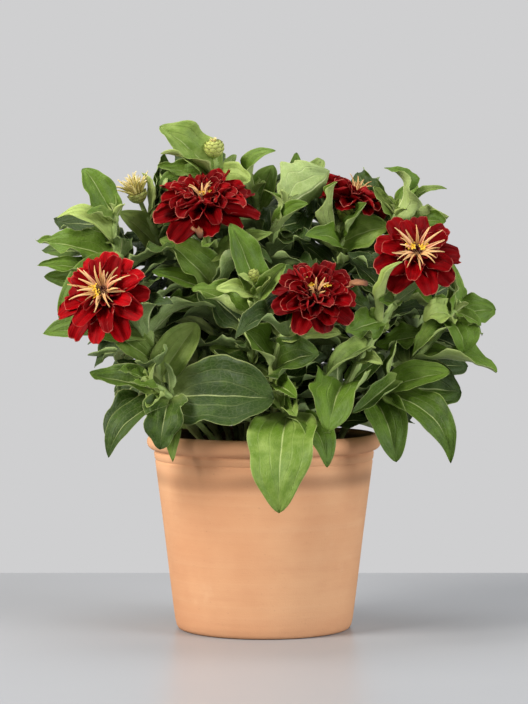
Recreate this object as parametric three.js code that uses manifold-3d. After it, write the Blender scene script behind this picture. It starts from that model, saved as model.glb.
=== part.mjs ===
// A potted common zinnia: a clay pot of soil with leafy stems, five double blooms and three buds.
// Millimetres, +Z up, origin on the floor under the pot's middle. The plant's front looks along -Y.

import * as THREE from "three";
import { mergeVertices } from "three/addons/utils/BufferGeometryUtils.js";
import Module from "manifold-3d";

const wasm = await Module();
wasm.setup();

// The pot: a common clay pot, 200 mm across its rolled rim.
const POT_HEIGHT = 167;
const RIM_RADIUS = 100;
const BEAD_HEIGHT = 14;
const NECK_RADIUS = 94;
const BASE_RADIUS = 75;
const BASE_ROUNDING = 4;
const WALL = 8;
const FLOOR = 10;
const DRAIN_RADIUS = 9;
const POT_SIDES = 24;

// The soil, a little below the rim, with a plain hole round each stem's foot.
const SOIL_TOP = 155;
const SOIL_LUMP = 1.6;
const SOIL_CROWN = 2;
const CLEARANCE = 0.3;
const HOLE_MARGIN = 0.9;

// Stems, blades and the space that keeps one plant part off another.
const FOOT_DEPTH = 20;
const STEM_RADIUS = 3;
const STEM_SIDES = 4;
const STEM_STEP = 44;
const LEAF_THICKNESS = 0.9;
const PETAL_THICKNESS = 0.9;
const LEAF_GAP = 0.35;

// Opposite pairs of leaves, set by rule up a stem, each pair turned a quarter from the last.
// Stems whose feet stand in front of REAR_DEPTH leave out the pairs' leaves that look to the viewer.
const PAIR_STEP = 62;
const PAIR_LENGTH = 74;
const PAIR_WIDTH = 36;
const PAIR_FORMS = ["flat", "wavy", "drooping"];
const REAR_DEPTH = 34;
const NEAR_SIDE = -0.3;

// The plant is laid out as it looks from a viewpoint straight in front of the pot.
const VIEW_DISTANCE = 2100;
const EYE_HEIGHT = 317;
const LAYOUT_BASE = 2;

const DEGREE = Math.PI / 180;
const UP = new THREE.Vector3(0, 0, 1);
const TO_VIEWER = new THREE.Vector3(0, -1, 0);

// A place given as [across, height, depth], as seen from the viewpoint, as a real point.
function seen([across, height, depth]) {
  const scale = (VIEW_DISTANCE + depth) / VIEW_DISTANCE;
  const z = EYE_HEIGHT + (height + LAYOUT_BASE - EYE_HEIGHT) * scale;
  return new THREE.Vector3(across * scale, depth, z);
}

// A draw between 0 and 1 that is the same for the same seed.
function draw(seed) {
  const value = Math.sin(seed * 12.9898) * 43758.5453;
  return value - Math.floor(value);
}

// A geometry as a manifold solid, with only its positions kept.
function solidFrom(geometry) {
  const bare = new THREE.BufferGeometry();
  bare.setAttribute("position", geometry.getAttribute("position"));
  if (geometry.index) bare.setIndex(geometry.index);
  const merged = mergeVertices(bare, 1e-4);
  return new wasm.Manifold(
    new wasm.Mesh({
      numProp: 3,
      vertProperties: new Float32Array(merged.attributes.position.array),
      triVerts: new Uint32Array(merged.index.array),
    }),
  );
}

// The largest body of a solid, so that a loose scrap or a sealed hollow is left out.
function largestBody(solid) {
  const bodies = solid.decompose();
  return bodies.reduce((best, body) => (body.volume() > best.volume() ? body : best));
}

// All the solids of a list joined into one body.
function joined(solids) {
  return largestBody(solids.reduce((whole, next) => whole.add(next)));
}

// A named mesh made from a solid.
function meshFrom(name, solid, material) {
  const { numProp, numVert, vertProperties, triVerts } = solid.getMesh();
  const positions = new Float32Array(numVert * 3);
  for (let i = 0; i < numVert; i += 1) {
    positions.set(vertProperties.subarray(i * numProp, i * numProp + 3), i * 3);
  }
  const geometry = new THREE.BufferGeometry();
  geometry.setAttribute("position", new THREE.BufferAttribute(positions, 3));
  geometry.setIndex(new THREE.BufferAttribute(new Uint32Array(triVerts), 1));
  geometry.computeVertexNormals();
  const mesh = new THREE.Mesh(geometry, material);
  mesh.name = name;
  return mesh;
}

// A solid of revolution about a direction, from [radius, height] pairs that start and end on its axis.
function turned(profile, sides, origin, axis) {
  const points = profile.map(([radius, height]) => new THREE.Vector2(radius, height));
  const geometry = new THREE.LatheGeometry(points, sides);
  geometry.applyQuaternion(new THREE.Quaternion().setFromUnitVectors(new THREE.Vector3(0, 1, 0), axis));
  geometry.translate(origin.x, origin.y, origin.z);
  return solidFrom(geometry);
}

// A round rod along a curve.
function rod(curve, radius, sides, steps) {
  const section = new THREE.Shape();
  for (let i = 0; i < sides; i += 1) {
    const angle = (2 * Math.PI * i) / sides;
    const x = radius * Math.cos(angle);
    const y = radius * Math.sin(angle);
    if (i === 0) section.moveTo(x, y);
    else section.lineTo(x, y);
  }
  section.closePath();
  return solidFrom(new THREE.ExtrudeGeometry(section, { steps, extrudePath: curve, curveSegments: 1 }));
}

// A closed blade round a grid of points: rows run from root to tip, and both faces split alike.
function bladeFrom(rows, thickness) {
  const across = rows[0].length;
  const positions = [];
  for (const side of [0.5, -0.5]) {
    for (const row of rows) {
      for (const { point, normal } of row) {
        positions.push(...point.clone().addScaledVector(normal, side * thickness).toArray());
      }
    }
  }
  const lower = rows.length * across;
  const faces = [];
  for (let j = 0; j + 1 < rows.length; j += 1) {
    for (let i = 0; i + 1 < across; i += 1) {
      const a = j * across + i;
      const b = a + 1;
      const c = a + across + 1;
      const d = a + across;
      faces.push(a, b, c, a, c, d);
      faces.push(lower + a, lower + c, lower + b, lower + a, lower + d, lower + c);
    }
    const left = j * across;
    const right = left + across - 1;
    faces.push(left, left + across, lower + left + across, left, lower + left + across, lower + left);
    faces.push(right, lower + right + across, right + across, right, lower + right, lower + right + across);
  }
  const last = (rows.length - 1) * across;
  for (let i = 0; i + 1 < across; i += 1) {
    faces.push(i, lower + i + 1, i + 1, i, lower + i, lower + i + 1);
    const k = last + i;
    faces.push(k, k + 1, lower + k + 1, k, lower + k + 1, lower + k);
  }
  const geometry = new THREE.BufferGeometry();
  geometry.setAttribute("position", new THREE.Float32BufferAttribute(positions, 3));
  geometry.setIndex(faces);
  return solidFrom(geometry);
}

// The part of a vector that is square to a direction, at unit length.
function squareTo(vector, direction) {
  return vector.clone().addScaledVector(direction, -vector.dot(direction)).normalize();
}

// Outlines: half the width at a share of the length, 1 at the widest.
const leafOutline = (u) => (Math.sqrt(u + 0.0012) * (1 - u) ** 0.72) / 0.4585;
const petalOutline = (u) =>
  0.1 + 0.9 * Math.sin(Math.min(1, u / 0.68) * Math.PI * 0.5) - (0.42 * Math.max(0, u - 0.68)) / 0.32;

// How a blade bends: rise arches its rib, hook drops its tip, cup lifts its edges, wave ripples them.
const FORMS = {
  flat: { rise: 0.08, hook: 0.0, cup: 0.18, wave: 0.05, waves: 1.5, twist: 0 },
  wavy: { rise: 0.1, hook: 0.05, cup: 0.22, wave: 0.16, waves: 2.2, twist: 10 },
  drooping: { rise: 0.24, hook: 0.12, cup: 0.15, wave: 0.08, waves: 1.5, twist: 0 },
  hooked: { rise: 0.2, hook: 0.35, cup: 0.25, wave: 0.12, waves: 2, twist: 10 },
  folded: { rise: 0.06, hook: 0.08, cup: 0.75, wave: 0.08, waves: 2, twist: 15 },
  twisted: { rise: 0.15, hook: 0.2, cup: 0.35, wave: 0.15, waves: 1.5, twist: 70 },
  cupped: { rise: -0.1, hook: -0.05, cup: 0.45, wave: 0.08, waves: 2, twist: 0 },
};

// The grid of one blade: rows at the given shares of its length, columns at the given shares of its width.
function bladeRows(blade, shares, columns, spare) {
  const { root, tip, face, width, outline, form, phase } = blade;
  const chord = tip.clone().sub(root);
  const length = chord.length();
  const along = chord.clone().divideScalar(length);
  const up = squareTo(face, along);
  const lifted = (share, lift) =>
    root.clone().addScaledVector(chord, share).addScaledVector(up, lift * length);
  const end = tip.clone().addScaledVector(along, spare);
  const bend = [lifted(0.33, form.rise), lifted(0.72, form.rise + form.hook)];
  const rib = new THREE.CubicBezierCurve3(root, ...bend, end);
  return shares.map((u) => {
    const tangent = rib.getTangent(u);
    const turn = form.twist * DEGREE * u;
    const normal = squareTo(up, tangent).applyAxisAngle(tangent, turn);
    const side = tangent.clone().cross(normal);
    const half = Math.max(0.5, (width / 2) * outline(u)) + spare;
    const fade = Math.sqrt(Math.sin(Math.PI * Math.min(1, u + 0.02)) + 0.05);
    return columns.map((v) => {
      const ripple = Math.sin(2 * Math.PI * form.waves * u + phase + (v > 0 ? 1.7 : 0));
      const lift = form.cup * half * Math.abs(v) ** 1.6 + form.wave * (width / 2) * ripple * v * v * fade;
      const point = rib.getPoint(u).addScaledVector(side, v * half).addScaledVector(normal, lift);
      return { point, normal };
    });
  });
}

const LEAF_SHARES = [0, 0.25, 0.6, 1];
const LONG_LEAF_SHARES = [0, 0.12, 0.35, 0.65, 1];
const LONG_LEAF = 72;
const PLAIN_LEAF_SHARES = [0, 0.2, 0.45, 0.74, 1];
const FOLDED_COLUMNS = [-1, 0, 1];
const PLAIN_COLUMNS = [-1, 1];
const LEAF_BASE = 0.1;

// A leaf's solid. A margin thickens and widens it, to test that it stays clear of its neighbours.
function leafSolid(leaf, margin, from) {
  const folded = leaf.root.distanceTo(leaf.tip) > LONG_LEAF ? LONG_LEAF_SHARES : LEAF_SHARES;
  const shares = leaf.plain ? PLAIN_LEAF_SHARES : folded;
  const columns = leaf.plain ? PLAIN_COLUMNS : FOLDED_COLUMNS;
  const used = from > 0 ? [from, ...shares.filter((u) => u > from)] : shares;
  return bladeFrom(bladeRows(leaf, used, columns, margin), LEAF_THICKNESS + 2 * margin);
}

// Blooms: where each one's face is, which way it looks, and its rings of petals from the outside in.
// A ring is [petals, length, width, lean above the bloom's face in degrees].
// Quills are [count, length, lowest lean], and stars are places across the disc.
const BLOOMS = {
  left: {
    face: [-136, 284, -76],
    axis: [-0.3, -0.86, 0.42],
    rings: [[12, 33, 18, 0], [8, 28, 15, 19]],
    quills: [14, 25, 40],
    stars: [[-5, 1]],
  },
  front: {
    face: [44, 282, -92],
    axis: [0.05, -0.8, 0.6],
    rings: [[9, 31, 19, -6], [8, 28, 16, 14], [6, 22, 13, 35], [4, 16, 10, 58]],
    quills: [5, 17, 74],
    stars: [[6, 1], [-2, 3]],
  },
  right: {
    face: [130, 318, -50],
    axis: [0.05, -0.88, 0.47],
    rings: [[9, 32, 20, 0], [5, 25, 15, 18]],
    quills: [10, 23, 42],
    stars: [[4, 1], [-4, 1]],
  },
  upper_left: {
    face: [-51, 361, -12],
    axis: [-0.08, -0.52, 0.85],
    rings: [[9, 41, 23, -12], [8, 36, 19, 8], [6, 27, 14, 30], [4, 18, 11, 56]],
    quills: [7, 17, 72],
    stars: [[0, 0], [4, 1]],
  },
  upper_right: {
    face: [76, 364, 28],
    axis: [0.38, -0.12, 0.92],
    rings: [[8, 25, 16, -14], [6, 24, 15, 8], [4, 20, 12, 32], [3, 15, 9, 58]],
    quills: [6, 15, 72],
    stars: [[0, 2]],
  },
};

// Turned profiles, [radius, height along the bloom's axis], heights from the bloom's face.
const CALYX_FOOT = -20;
const CALYX_TOP = -6.3;
const CALYX = [[0, CALYX_FOOT], [3, CALYX_FOOT], [8, -16.5], [9.4, -12.4], [8.7, -12], [10.2, CALYX_TOP],
  [0, CALYX_TOP]];
const RECEPTACLE = [[0, -6], [9, -6], [11, -1.5], [7.5, 3], [0, 3]];
const DISC = [[0, 3.3], [5, 3.3], [4, 6.4], [0, 7]];
const STAR = [[0, 4], [1.2, 4], [3.4, 9.4], [0, 8.8]];
const STAR_SPREAD = 0.6;
const STAR_SIDES = 5;
const DISC_SIDES = 6;
const CALYX_SIDES = 8;

// Petals: where they leave the receptacle, ring by ring, and how they bend.
const PETAL_ROOT_RADIUS = 6.8;
const PETAL_ROOT_HEIGHT = -2.5;
const RING_RISE = 1.4;
const LAYER_TILT = 5.5;
const PETAL_SHARES = [0, 0.55, 1];
const PETAL_FORM = { rise: 0.02, hook: 0.04, cup: 0.16, wave: 0, waves: 1, twist: 0 };

// Quills stand round the disc in an outer and an inner ring, [radius, height] each.
const QUILL_RADIUS = 0.85;
const QUILL_FEET = [[2, 6], [3.8, 4.6]];
const QUILL_LEAN_STEP = 6;

// Buds, [radius, height] from the stem's end: a closed scaly one, and a cup that cream spikes leave.
const BUD = [[0, 0], [2.7, 0], [7, 3.5], [8.6, 9], [7.6, 13.4], [4.4, 15.4], [0, 15.8]];
const BUD_CUP_TOP = 9;
const BUD_CUP = [[0, 0], [2.7, 0], [7, 4], [8.4, BUD_CUP_TOP], [0, BUD_CUP_TOP]];
const BUD_SIZES = { closed: 0.95, small: 0.74, opening: 0.9 };
const SPIKE_DISC = [[0, 0], [6, 0], [5, 3], [0, 4.5]];
const SPIKES = 12;
const SPIKE_TURN = 2.4;
const SPIKE_LENGTH = 13;
const SPIKE_RADIUS = 1;

// The two directions across a bloom's face: to the viewer's right, and up the picture.
function acrossBloom(axis) {
  const right = UP.clone().cross(axis).normalize();
  return { right, over: axis.clone().cross(right) };
}

// The root and tip of what leaves a bloom's axis at an angle round it and a lean above its face.
function spoke(bloom, angle, lean, [rootRadius, rootHeight], length) {
  const { right, over } = acrossBloom(bloom.axis);
  const outwards = right.clone().multiplyScalar(Math.cos(angle)).addScaledVector(over, Math.sin(angle));
  const root = bloom.face.clone()
    .addScaledVector(outwards, rootRadius)
    .addScaledVector(bloom.axis, rootHeight);
  const tip = root.clone()
    .addScaledVector(outwards, length * Math.cos(lean))
    .addScaledVector(bloom.axis, length * Math.sin(lean));
  return { root, tip };
}

// One bloom's petals on their receptacle.
function petalsSolid(bloom, seed) {
  const solids = [turned(RECEPTACLE, CALYX_SIDES, bloom.face, bloom.axis)];
  bloom.rings.forEach(([count, length, width, lean], ring) => {
    for (let i = 0; i < count; i += 1) {
      const chance = draw(seed + 40 * ring + i);
      const angle = (2 * Math.PI * (i + 0.5 * (ring % 2) + 0.2 * (chance - 0.5))) / count;
      const tilt = (lean + (i % 2 ? LAYER_TILT : -LAYER_TILT) + 3 * (chance - 0.5)) * DEGREE;
      const reach = length * (0.92 + 0.16 * draw(seed + 300 + 40 * ring + i)) - PETAL_ROOT_RADIUS * 0.3;
      const foot = [PETAL_ROOT_RADIUS, PETAL_ROOT_HEIGHT + RING_RISE * ring];
      const ends = spoke(bloom, angle, tilt, foot, reach);
      const petal = { ...ends, width, outline: petalOutline, form: PETAL_FORM, phase: 0, face: bloom.axis };
      const columns = ring ? PLAIN_COLUMNS : FOLDED_COLUMNS;
      solids.push(bladeFrom(bladeRows(petal, PETAL_SHARES, columns, 0), PETAL_THICKNESS));
    }
  });
  return joined(solids);
}

// One bloom's quills and star florets on their disc, each quill raised until it is clear of the petals.
function floretsSolid(bloom, petals, seed) {
  const disc = turned(DISC, DISC_SIDES, bloom.face, bloom.axis);
  const solids = [disc];
  const [count, length, lowest] = bloom.quills;
  for (let i = 0; i < count; i += 1) {
    const angle = (2 * Math.PI * (i + 0.5 * draw(seed + i))) / count;
    const reach = length * (0.8 + 0.35 * draw(seed + 50 + i));
    for (let lean = lowest + 8 * (i % 2); lean < 88; lean += QUILL_LEAN_STEP) {
      const quill = spoke(bloom, angle, lean * DEGREE, QUILL_FEET[i % 2], reach);
      const path = new THREE.LineCurve3(quill.root, quill.tip);
      if (!rod(path, QUILL_RADIUS + CLEARANCE, 3, 1).intersect(petals).isEmpty()) continue;
      solids.push(rod(path, QUILL_RADIUS, 3, 1));
      break;
    }
  }
  const { right, over } = acrossBloom(bloom.axis);
  for (const [x, y] of bloom.stars) {
    const middle = bloom.face.clone()
      .addScaledVector(right, x * STAR_SPREAD)
      .addScaledVector(over, y * STAR_SPREAD);
    solids.push(turned(STAR, STAR_SIDES, middle, bloom.axis));
  }
  return joined(solids);
}

// Stems. Each has a foot in the soil [across, depth] and a route of seen places up to its end.
// A leaf is [height of its root on the stem, seen place of its tip, width, roll to the viewer, form].
// Pairs is [lowest, highest, first azimuth] of the opposite pairs that fill the stem by rule.
const STEMS = {
  left_bloom: {
    foot: [-52, -26],
    route: [[-88, 205, -58], [-95, 238, -56], [-106, 264, -50]],
    bloom: "left",
    pairs: [228, 250, 60],
    leaves: [
      [215, [-57, 259, -52], 36, 62, "flat"],
      [229, [-130, 250, -58], 28, 60, "flat"],
      [252, [-189, 250, -46], 32, 55, "wavy"],
    ],
  },
  left_front_shoot: {
    foot: [-40, -50],
    route: [[-72, 188, -78], [-97, 208, -88]],
    leaves: [
      [203, [9, 194, -106], 66, 62, "flat"],
      [202, [-89, 151, -112], 36, 10, "drooping"],
      [207, [-148, 213, -80], 27, 45, "flat"],
      [200, [-128, 140, -104], 30, 25, "drooping"],
    ],
  },
  left_shoot: {
    foot: [-38, 14],
    route: [[-84, 232, 4], [-116, 296, -8], [-128, 333, -14], [-127, 351, -15]],
    pairs: [200, 290, 40],
    leaves: [
      [349, [-154, 393, -18], 29, 70, "flat"],
      [329, [-177, 349, -22], 22, 50, "hooked"],
      [314, [-194, 328, -14], 31, 55, "wavy"],
      [297, [-194, 309, -24], 21, 60, "wavy"],
      [320, [-174, 260, -32], 27, 45, "drooping"],
    ],
  },
  left_bud: {
    foot: [-30, 28],
    route: [[-58, 240, 32], [-84, 312, 28], [-98, 345, 20], [-106, 364, 15]],
    bud: "opening",
    pairs: [210, 300, 20],
    leaves: [
      [322, [-124, 354, 4], 33, 68, "flat"],
      [322, [-70, 340, 40], 30, 30, "flat"],
    ],
  },
  upper_left_bloom: {
    foot: [-18, 4],
    route: [[-32, 240, -2], [-43, 300, 2], [-48, 326, 4]],
    bloom: "upper_left",
    pairs: [190, 260, 80],
    leaves: [
      [290, [-88, 333, -10], 38, 65, "flat"],
      [284, [-96, 303, -24], 25, 50, "flat"],
      [280, [-88, 275, -40], 25, 50, "wavy"],
      [316, [8, 335, -22], 24, 50, "flat"],
    ],
  },
  top_bud: {
    foot: [-8, 46],
    route: [[-22, 255, 50], [-34, 345, 44], [-40, 384, 34], [-42, 403, 28]],
    bud: "closed",
    pairs: [220, 350, 10],
    leaves: [
      [385, [-89, 427, 18], 42, 72, "wavy"],
      [382, [-90, 380, 22], 19, 55, "wavy"],
      [384, [-11, 379, 12], 29, 55, "flat"],
    ],
  },
  back_shoot: {
    foot: [10, 56],
    route: [[4, 270, 62], [-4, 345, 50], [-8, 371, 44]],
    pairs: [200, 340, 55],
    leaves: [
      [370, [10, 406, 24], 26, 60, "hooked"],
      [360, [8, 394, 48], 28, 65, "flat"],
    ],
  },
  upper_shoot: {
    foot: [20, 20],
    route: [[8, 262, 16], [9, 337, 4], [17, 362, 0]],
    pairs: [210, 300, 100],
    leaves: [
      [361, [57, 389, 14], 52, -68, "cupped"],
      [361, [27, 408, 22], 18, 60, "flat"],
      [337, [38, 361, -20], 20, 50, "folded"],
    ],
  },
  upper_right_bloom: {
    foot: [40, 26],
    route: [[50, 250, 26], [66, 325, 20]],
    bloom: "upper_right",
    pairs: [200, 300, 30],
    leaves: [
      [332, [67, 379, -14], 20, 55, "folded"],
      [334, [95, 363, 2], 20, 50, "flat"],
      [332, [20, 335, -8], 25, 50, "drooping"],
      [330, [104, 346, 4], 38, 60, "wavy"],
      [330, [110, 352, 40], 30, 20, "flat"],
    ],
  },
  right_back_shoot: {
    foot: [56, 40],
    route: [[92, 250, 40], [110, 320, 24], [113, 352, 10]],
    pairs: [200, 320, 75],
    leaves: [
      [351, [103, 393, -4], 33, 70, "hooked"],
      [349, [92, 374, 6], 18, 60, "flat"],
      [351, [150, 360, -6], 36, -40, "cupped"],
      [345, [134, 378, 28], 24, 50, "flat"],
    ],
  },
  right_bloom: {
    foot: [44, -22],
    route: [[72, 208, -50], [88, 237, -44], [108, 270, -30]],
    bloom: "right",
    pairs: [180, 250, 50],
    leaves: [
      [209, [55, 167, -122], 52, 10, "drooping"],
      [210, [103, 231, -48], 23, 50, "flat"],
      [244, [49, 206, -76], 26, 50, "twisted"],
      [264, [70, 250, -62], 26, 55, "wavy"],
    ],
  },
  right_shoot: {
    foot: [64, -8],
    route: [[82, 186, -28], [109, 207, -42], [140, 240, -36], [164, 269, -30]],
    pairs: [180, 245, 100],
    leaves: [
      [207, [159, 217, -62], 31, 55, "flat"],
      [207, [169, 200, -34], 50, 60, "flat"],
      [206, [167, 147, -70], 36, 35, "hooked"],
      [204, [122, 142, -82], 37, 20, "drooping"],
      [268, [164, 301, -22], 22, 75, "flat"],
      [268, [134, 262, -48], 28, 55, "hooked"],
      [268, [198, 270, -22], 30, 55, "wavy"],
      [265, [171, 234, -44], 34, 15, "drooping"],
      [262, [127, 231, -56], 22, 50, "twisted"],
      [260, [160, 312, -8], 25, 60, "flat"],
      [252, [97, 238, -24], 24, 50, "wavy"],
    ],
  },
  front_bloom: {
    foot: [10, -42],
    route: [[9, 226, -70], [22, 254, -72]],
    bloom: "front",
    pairs: [205, 215, 150],
    leaves: [
      [227, [-25, 260, -92], 36, 58, "flat"],
      [224, [47, 232, -104], 42, 55, "wavy"],
      [196, [28, 178, -98], 18, 40, "wavy"],
      [250, [66, 250, -92], 22, 50, "wavy"],
      [180, [-52, 171, -98], 18, 45, "wavy"],
    ],
  },
  small_bud: {
    foot: [-14, -28],
    route: [[-14, 200, -46], [-8, 262, -60], [-5, 285, -64], [-9, 296, -65]],
    bud: "small",
    pairs: [190, 240, 70],
    leaves: [
      [285, [-29, 344, -66], 30, 75, "wavy"],
      [285, [-2, 322, -52], 30, 70, "wavy"],
      [284, [-41, 288, -84], 20, 50, "wavy"],
      [264, [-62, 290, -60], 29, 55, "wavy"],
      [222, [-47, 238, -56], 19, 50, "flat"],
    ],
  },
  rim_shoot: {
    foot: [22, -68],
    route: [[21, 180, -76], [20, 194, -80]],
    leaves: [
      [190, [13, 96, -142], 58, 0, "drooping"],
      [186, [54, 135, -122], 32, 0, "drooping"],
      [192, [48, 170, -116], 26, 20, "wavy"],
    ],
  },
  back_left_shoot: {
    foot: [-56, 36],
    route: [[-94, 225, 58], [-124, 285, 70], [-132, 312, 72]],
    pairs: [185, 300, 15],
    leaves: [],
  },
  back_middle_shoot: {
    foot: [-24, 66],
    route: [[-38, 240, 84], [-50, 310, 90], [-52, 338, 88]],
    pairs: [185, 325, 45],
    leaves: [],
  },
  back_inner_shoot: {
    foot: [34, 66],
    route: [[46, 240, 70], [60, 310, 72], [64, 336, 68]],
    pairs: [185, 322, 5],
    leaves: [],
  },
  back_right_shoot: {
    foot: [66, 26],
    route: [[110, 230, 52], [140, 285, 62], [148, 306, 62]],
    pairs: [185, 295, 70],
    leaves: [],
  },
};

// Heights on a bloom's axis that its stem passes, the last one inside the calyx.
const BLOOM_NECK = [CALYX_FOOT - 9, CALYX_FOOT + 2];

// The curve of a stem's middle. Its foot stands straight in the soil.
function stemCurve(stem, footDrop) {
  const [x, y] = stem.foot;
  const points = [
    new THREE.Vector3(x, y, SOIL_TOP - FOOT_DEPTH - footDrop),
    new THREE.Vector3(x, y, SOIL_TOP + 4),
    ...stem.route.map(seen),
  ];
  if (stem.bloom) {
    const { face, axis } = BLOOMS[stem.bloom];
    const unit = new THREE.Vector3(...axis).normalize();
    for (const height of BLOOM_NECK) points.push(seen(face).addScaledVector(unit, height));
  }
  return new THREE.CatmullRomCurve3(points, false, "centripetal");
}

// The point of a stem's middle at a height.
function stemPointAt(curve, height) {
  let low = 0;
  let high = 1;
  for (let i = 0; i < 24; i += 1) {
    const middle = (low + high) / 2;
    if (curve.getPoint(middle).z < height) low = middle;
    else high = middle;
  }
  return curve.getPoint(low);
}

// Which way a leaf's upper face looks: up, rolled towards the viewer by an angle.
function faceOf(root, tip, roll) {
  const along = tip.clone().sub(root).normalize();
  const up = squareTo(UP, along);
  const side = along.clone().cross(up);
  if (side.dot(TO_VIEWER) < 0) side.negate();
  return up.multiplyScalar(Math.cos(roll * DEGREE)).addScaledVector(side, Math.sin(roll * DEGREE));
}

// Small changes to a leaf, tried in order until it is clear: how far its root slides up its stem,
// how it turns about its root, and the share of its length that it keeps.
const SWINGS = [];
for (const share of [1, 0.84]) {
  for (const angle of [0, 7, 15, 24]) {
    for (const slide of [0, 5, -5, 10, -10]) {
      const turns = angle ? 8 : 1;
      for (let i = 0; i < turns; i += 1) {
        const around = (i * Math.PI) / 4;
        SWINGS.push({ slide, yaw: angle * Math.cos(around), pitch: angle * Math.sin(around), share });
      }
    }
  }
}

// A leaf after one swing.
function swung(leaf, { yaw, pitch, share }) {
  const chord = leaf.tip.clone().sub(leaf.root);
  const face = leaf.face.clone();
  const across = chord.clone().cross(face).normalize();
  for (const vector of [chord, face]) {
    vector.applyAxisAngle(leaf.face, yaw * DEGREE).applyAxisAngle(across, pitch * DEGREE);
  }
  const tip = leaf.root.clone().addScaledVector(chord, share);
  return { ...leaf, tip, face, width: leaf.width * (share + 1) * 0.5 };
}

// What already stands in the plant, with the node that it belongs to.
const standing = [];
const outerBlades = [];

function stand(owner, solid) {
  standing.push({ owner, solid, box: solid.boundingBox() });
}

const boxesMeet = (a, b) => [0, 1, 2].every((i) => a.min[i] <= b.max[i] && b.min[i] <= a.max[i]);

function isClear(solid, others) {
  const box = solid.boundingBox();
  return others.every((other) => !boxesMeet(box, other.box) || solid.intersect(other.solid).isEmpty());
}

// Sets a leaf at the first swing that keeps it clear, and gives its solid, or nothing.
function settle(owner, leafAt) {
  const strangers = standing.filter((other) => other.owner !== owner);
  const siblings = outerBlades.filter((other) => other.owner === owner);
  for (const swing of SWINGS) {
    const turn = swung(leafAt(swing.slide), swing);
    if (!isClear(leafSolid(turn, LEAF_GAP, 0), strangers)) continue;
    const outer = leafSolid(turn, 0, LEAF_BASE);
    if (!isClear(outer, siblings)) continue;
    const solid = leafSolid(turn, 0, 0);
    stand(owner, solid);
    outerBlades.push({ owner, solid: outer, box: outer.boundingBox() });
    return solid;
  }
  return null;
}

// The pot and the soil.
const beadFoot = POT_HEIGHT - BEAD_HEIGHT;
const innerRadius = (z) => BASE_RADIUS - WALL + ((NECK_RADIUS - BASE_RADIUS) * z) / beadFoot;
const floorRadius = innerRadius(FLOOR) - 3;
const potProfile = [
  [DRAIN_RADIUS, 0],
  [BASE_RADIUS - BASE_ROUNDING, 0],
  [BASE_RADIUS - 1, 1.3],
  [BASE_RADIUS + 0.4, BASE_ROUNDING],
  [NECK_RADIUS, beadFoot - 1],
  [NECK_RADIUS + 2.5, beadFoot],
  [RIM_RADIUS, beadFoot + 4],
  [RIM_RADIUS, beadFoot + 9],
  [RIM_RADIUS - 4, POT_HEIGHT],
  [RIM_RADIUS - 11, POT_HEIGHT - 1.6],
  [innerRadius(beadFoot), beadFoot],
  [floorRadius, FLOOR],
  [DRAIN_RADIUS, FLOOR],
  [DRAIN_RADIUS, 0],
];
const pot = turned(potProfile, POT_SIDES, new THREE.Vector3(), UP);

function soilSolid() {
  const edge = innerRadius(SOIL_TOP) - 2 * CLEARANCE;
  const profile = [
    [0, FLOOR + CLEARANCE],
    [floorRadius - 6 * CLEARANCE, FLOOR + CLEARANCE],
    [edge, SOIL_TOP],
    [edge * 0.6, SOIL_TOP + SOIL_CROWN * 0.7],
    [0, SOIL_TOP + SOIL_CROWN],
  ];
  const geometry = new THREE.LatheGeometry(
    profile.map(([radius, height]) => new THREE.Vector2(radius, height)), POT_SIDES);
  geometry.rotateX(Math.PI / 2);
  const place = geometry.getAttribute("position");
  for (let i = 0; i < place.count; i += 1) {
    if (place.getZ(i) < SOIL_TOP - 1) continue;
    const x = place.getX(i);
    const y = place.getY(i);
    const inside = 1 - (Math.hypot(x, y) / edge) ** 4;
    place.setZ(i, place.getZ(i) + SOIL_LUMP * inside * Math.sin(0.21 * x + 1) * Math.cos(0.17 * y));
  }
  return solidFrom(geometry);
}

// Finishes.
const finish = (color, roughness) => new THREE.MeshStandardMaterial({ color, roughness, metalness: 0 });
const clay = finish(0xd2936b, 0.85);
const earth = finish(0x2b211a, 0.95);
const leafGreen = finish(0x5f7d41, 0.6);
const crimson = finish(0x960014, 0.55);
const cream = finish(0xe1b978, 0.6);

const zinnia = new THREE.Group();
zinnia.add(meshFrom("pot", pot, clay));
stand("pot", pot);

// Places of the blooms in the part's own frame.
const blooms = Object.fromEntries(
  Object.entries(BLOOMS).map(([name, bloom]) => [
    name, { ...bloom, face: seen(bloom.face), axis: new THREE.Vector3(...bloom.axis).normalize() }]));

// The soil, with a plain hole round each stem's foot.
let soil = soilSolid();
for (const stem of Object.values(STEMS)) {
  const curve = stemCurve(stem, CLEARANCE);
  const steps = Math.ceil(curve.getLength() / STEM_STEP);
  soil = soil.subtract(rod(curve, STEM_RADIUS + HOLE_MARGIN, STEM_SIDES, steps));
}
soil = largestBody(soil);
zinnia.add(meshFrom("soil", soil, earth));
stand("soil", soil);

// Petals first, then the florets between them.
Object.entries(blooms).forEach(([name, bloom], index) => {
  const petals = petalsSolid(bloom, 100 * index + 11);
  const florets = floretsSolid(bloom, petals, 100 * index + 57);
  zinnia.add(meshFrom(`${name}_petals`, petals, crimson));
  zinnia.add(meshFrom(`${name}_florets`, florets, cream));
  stand(`${name}_petals`, petals);
  stand(`${name}_florets`, florets);
});

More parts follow.
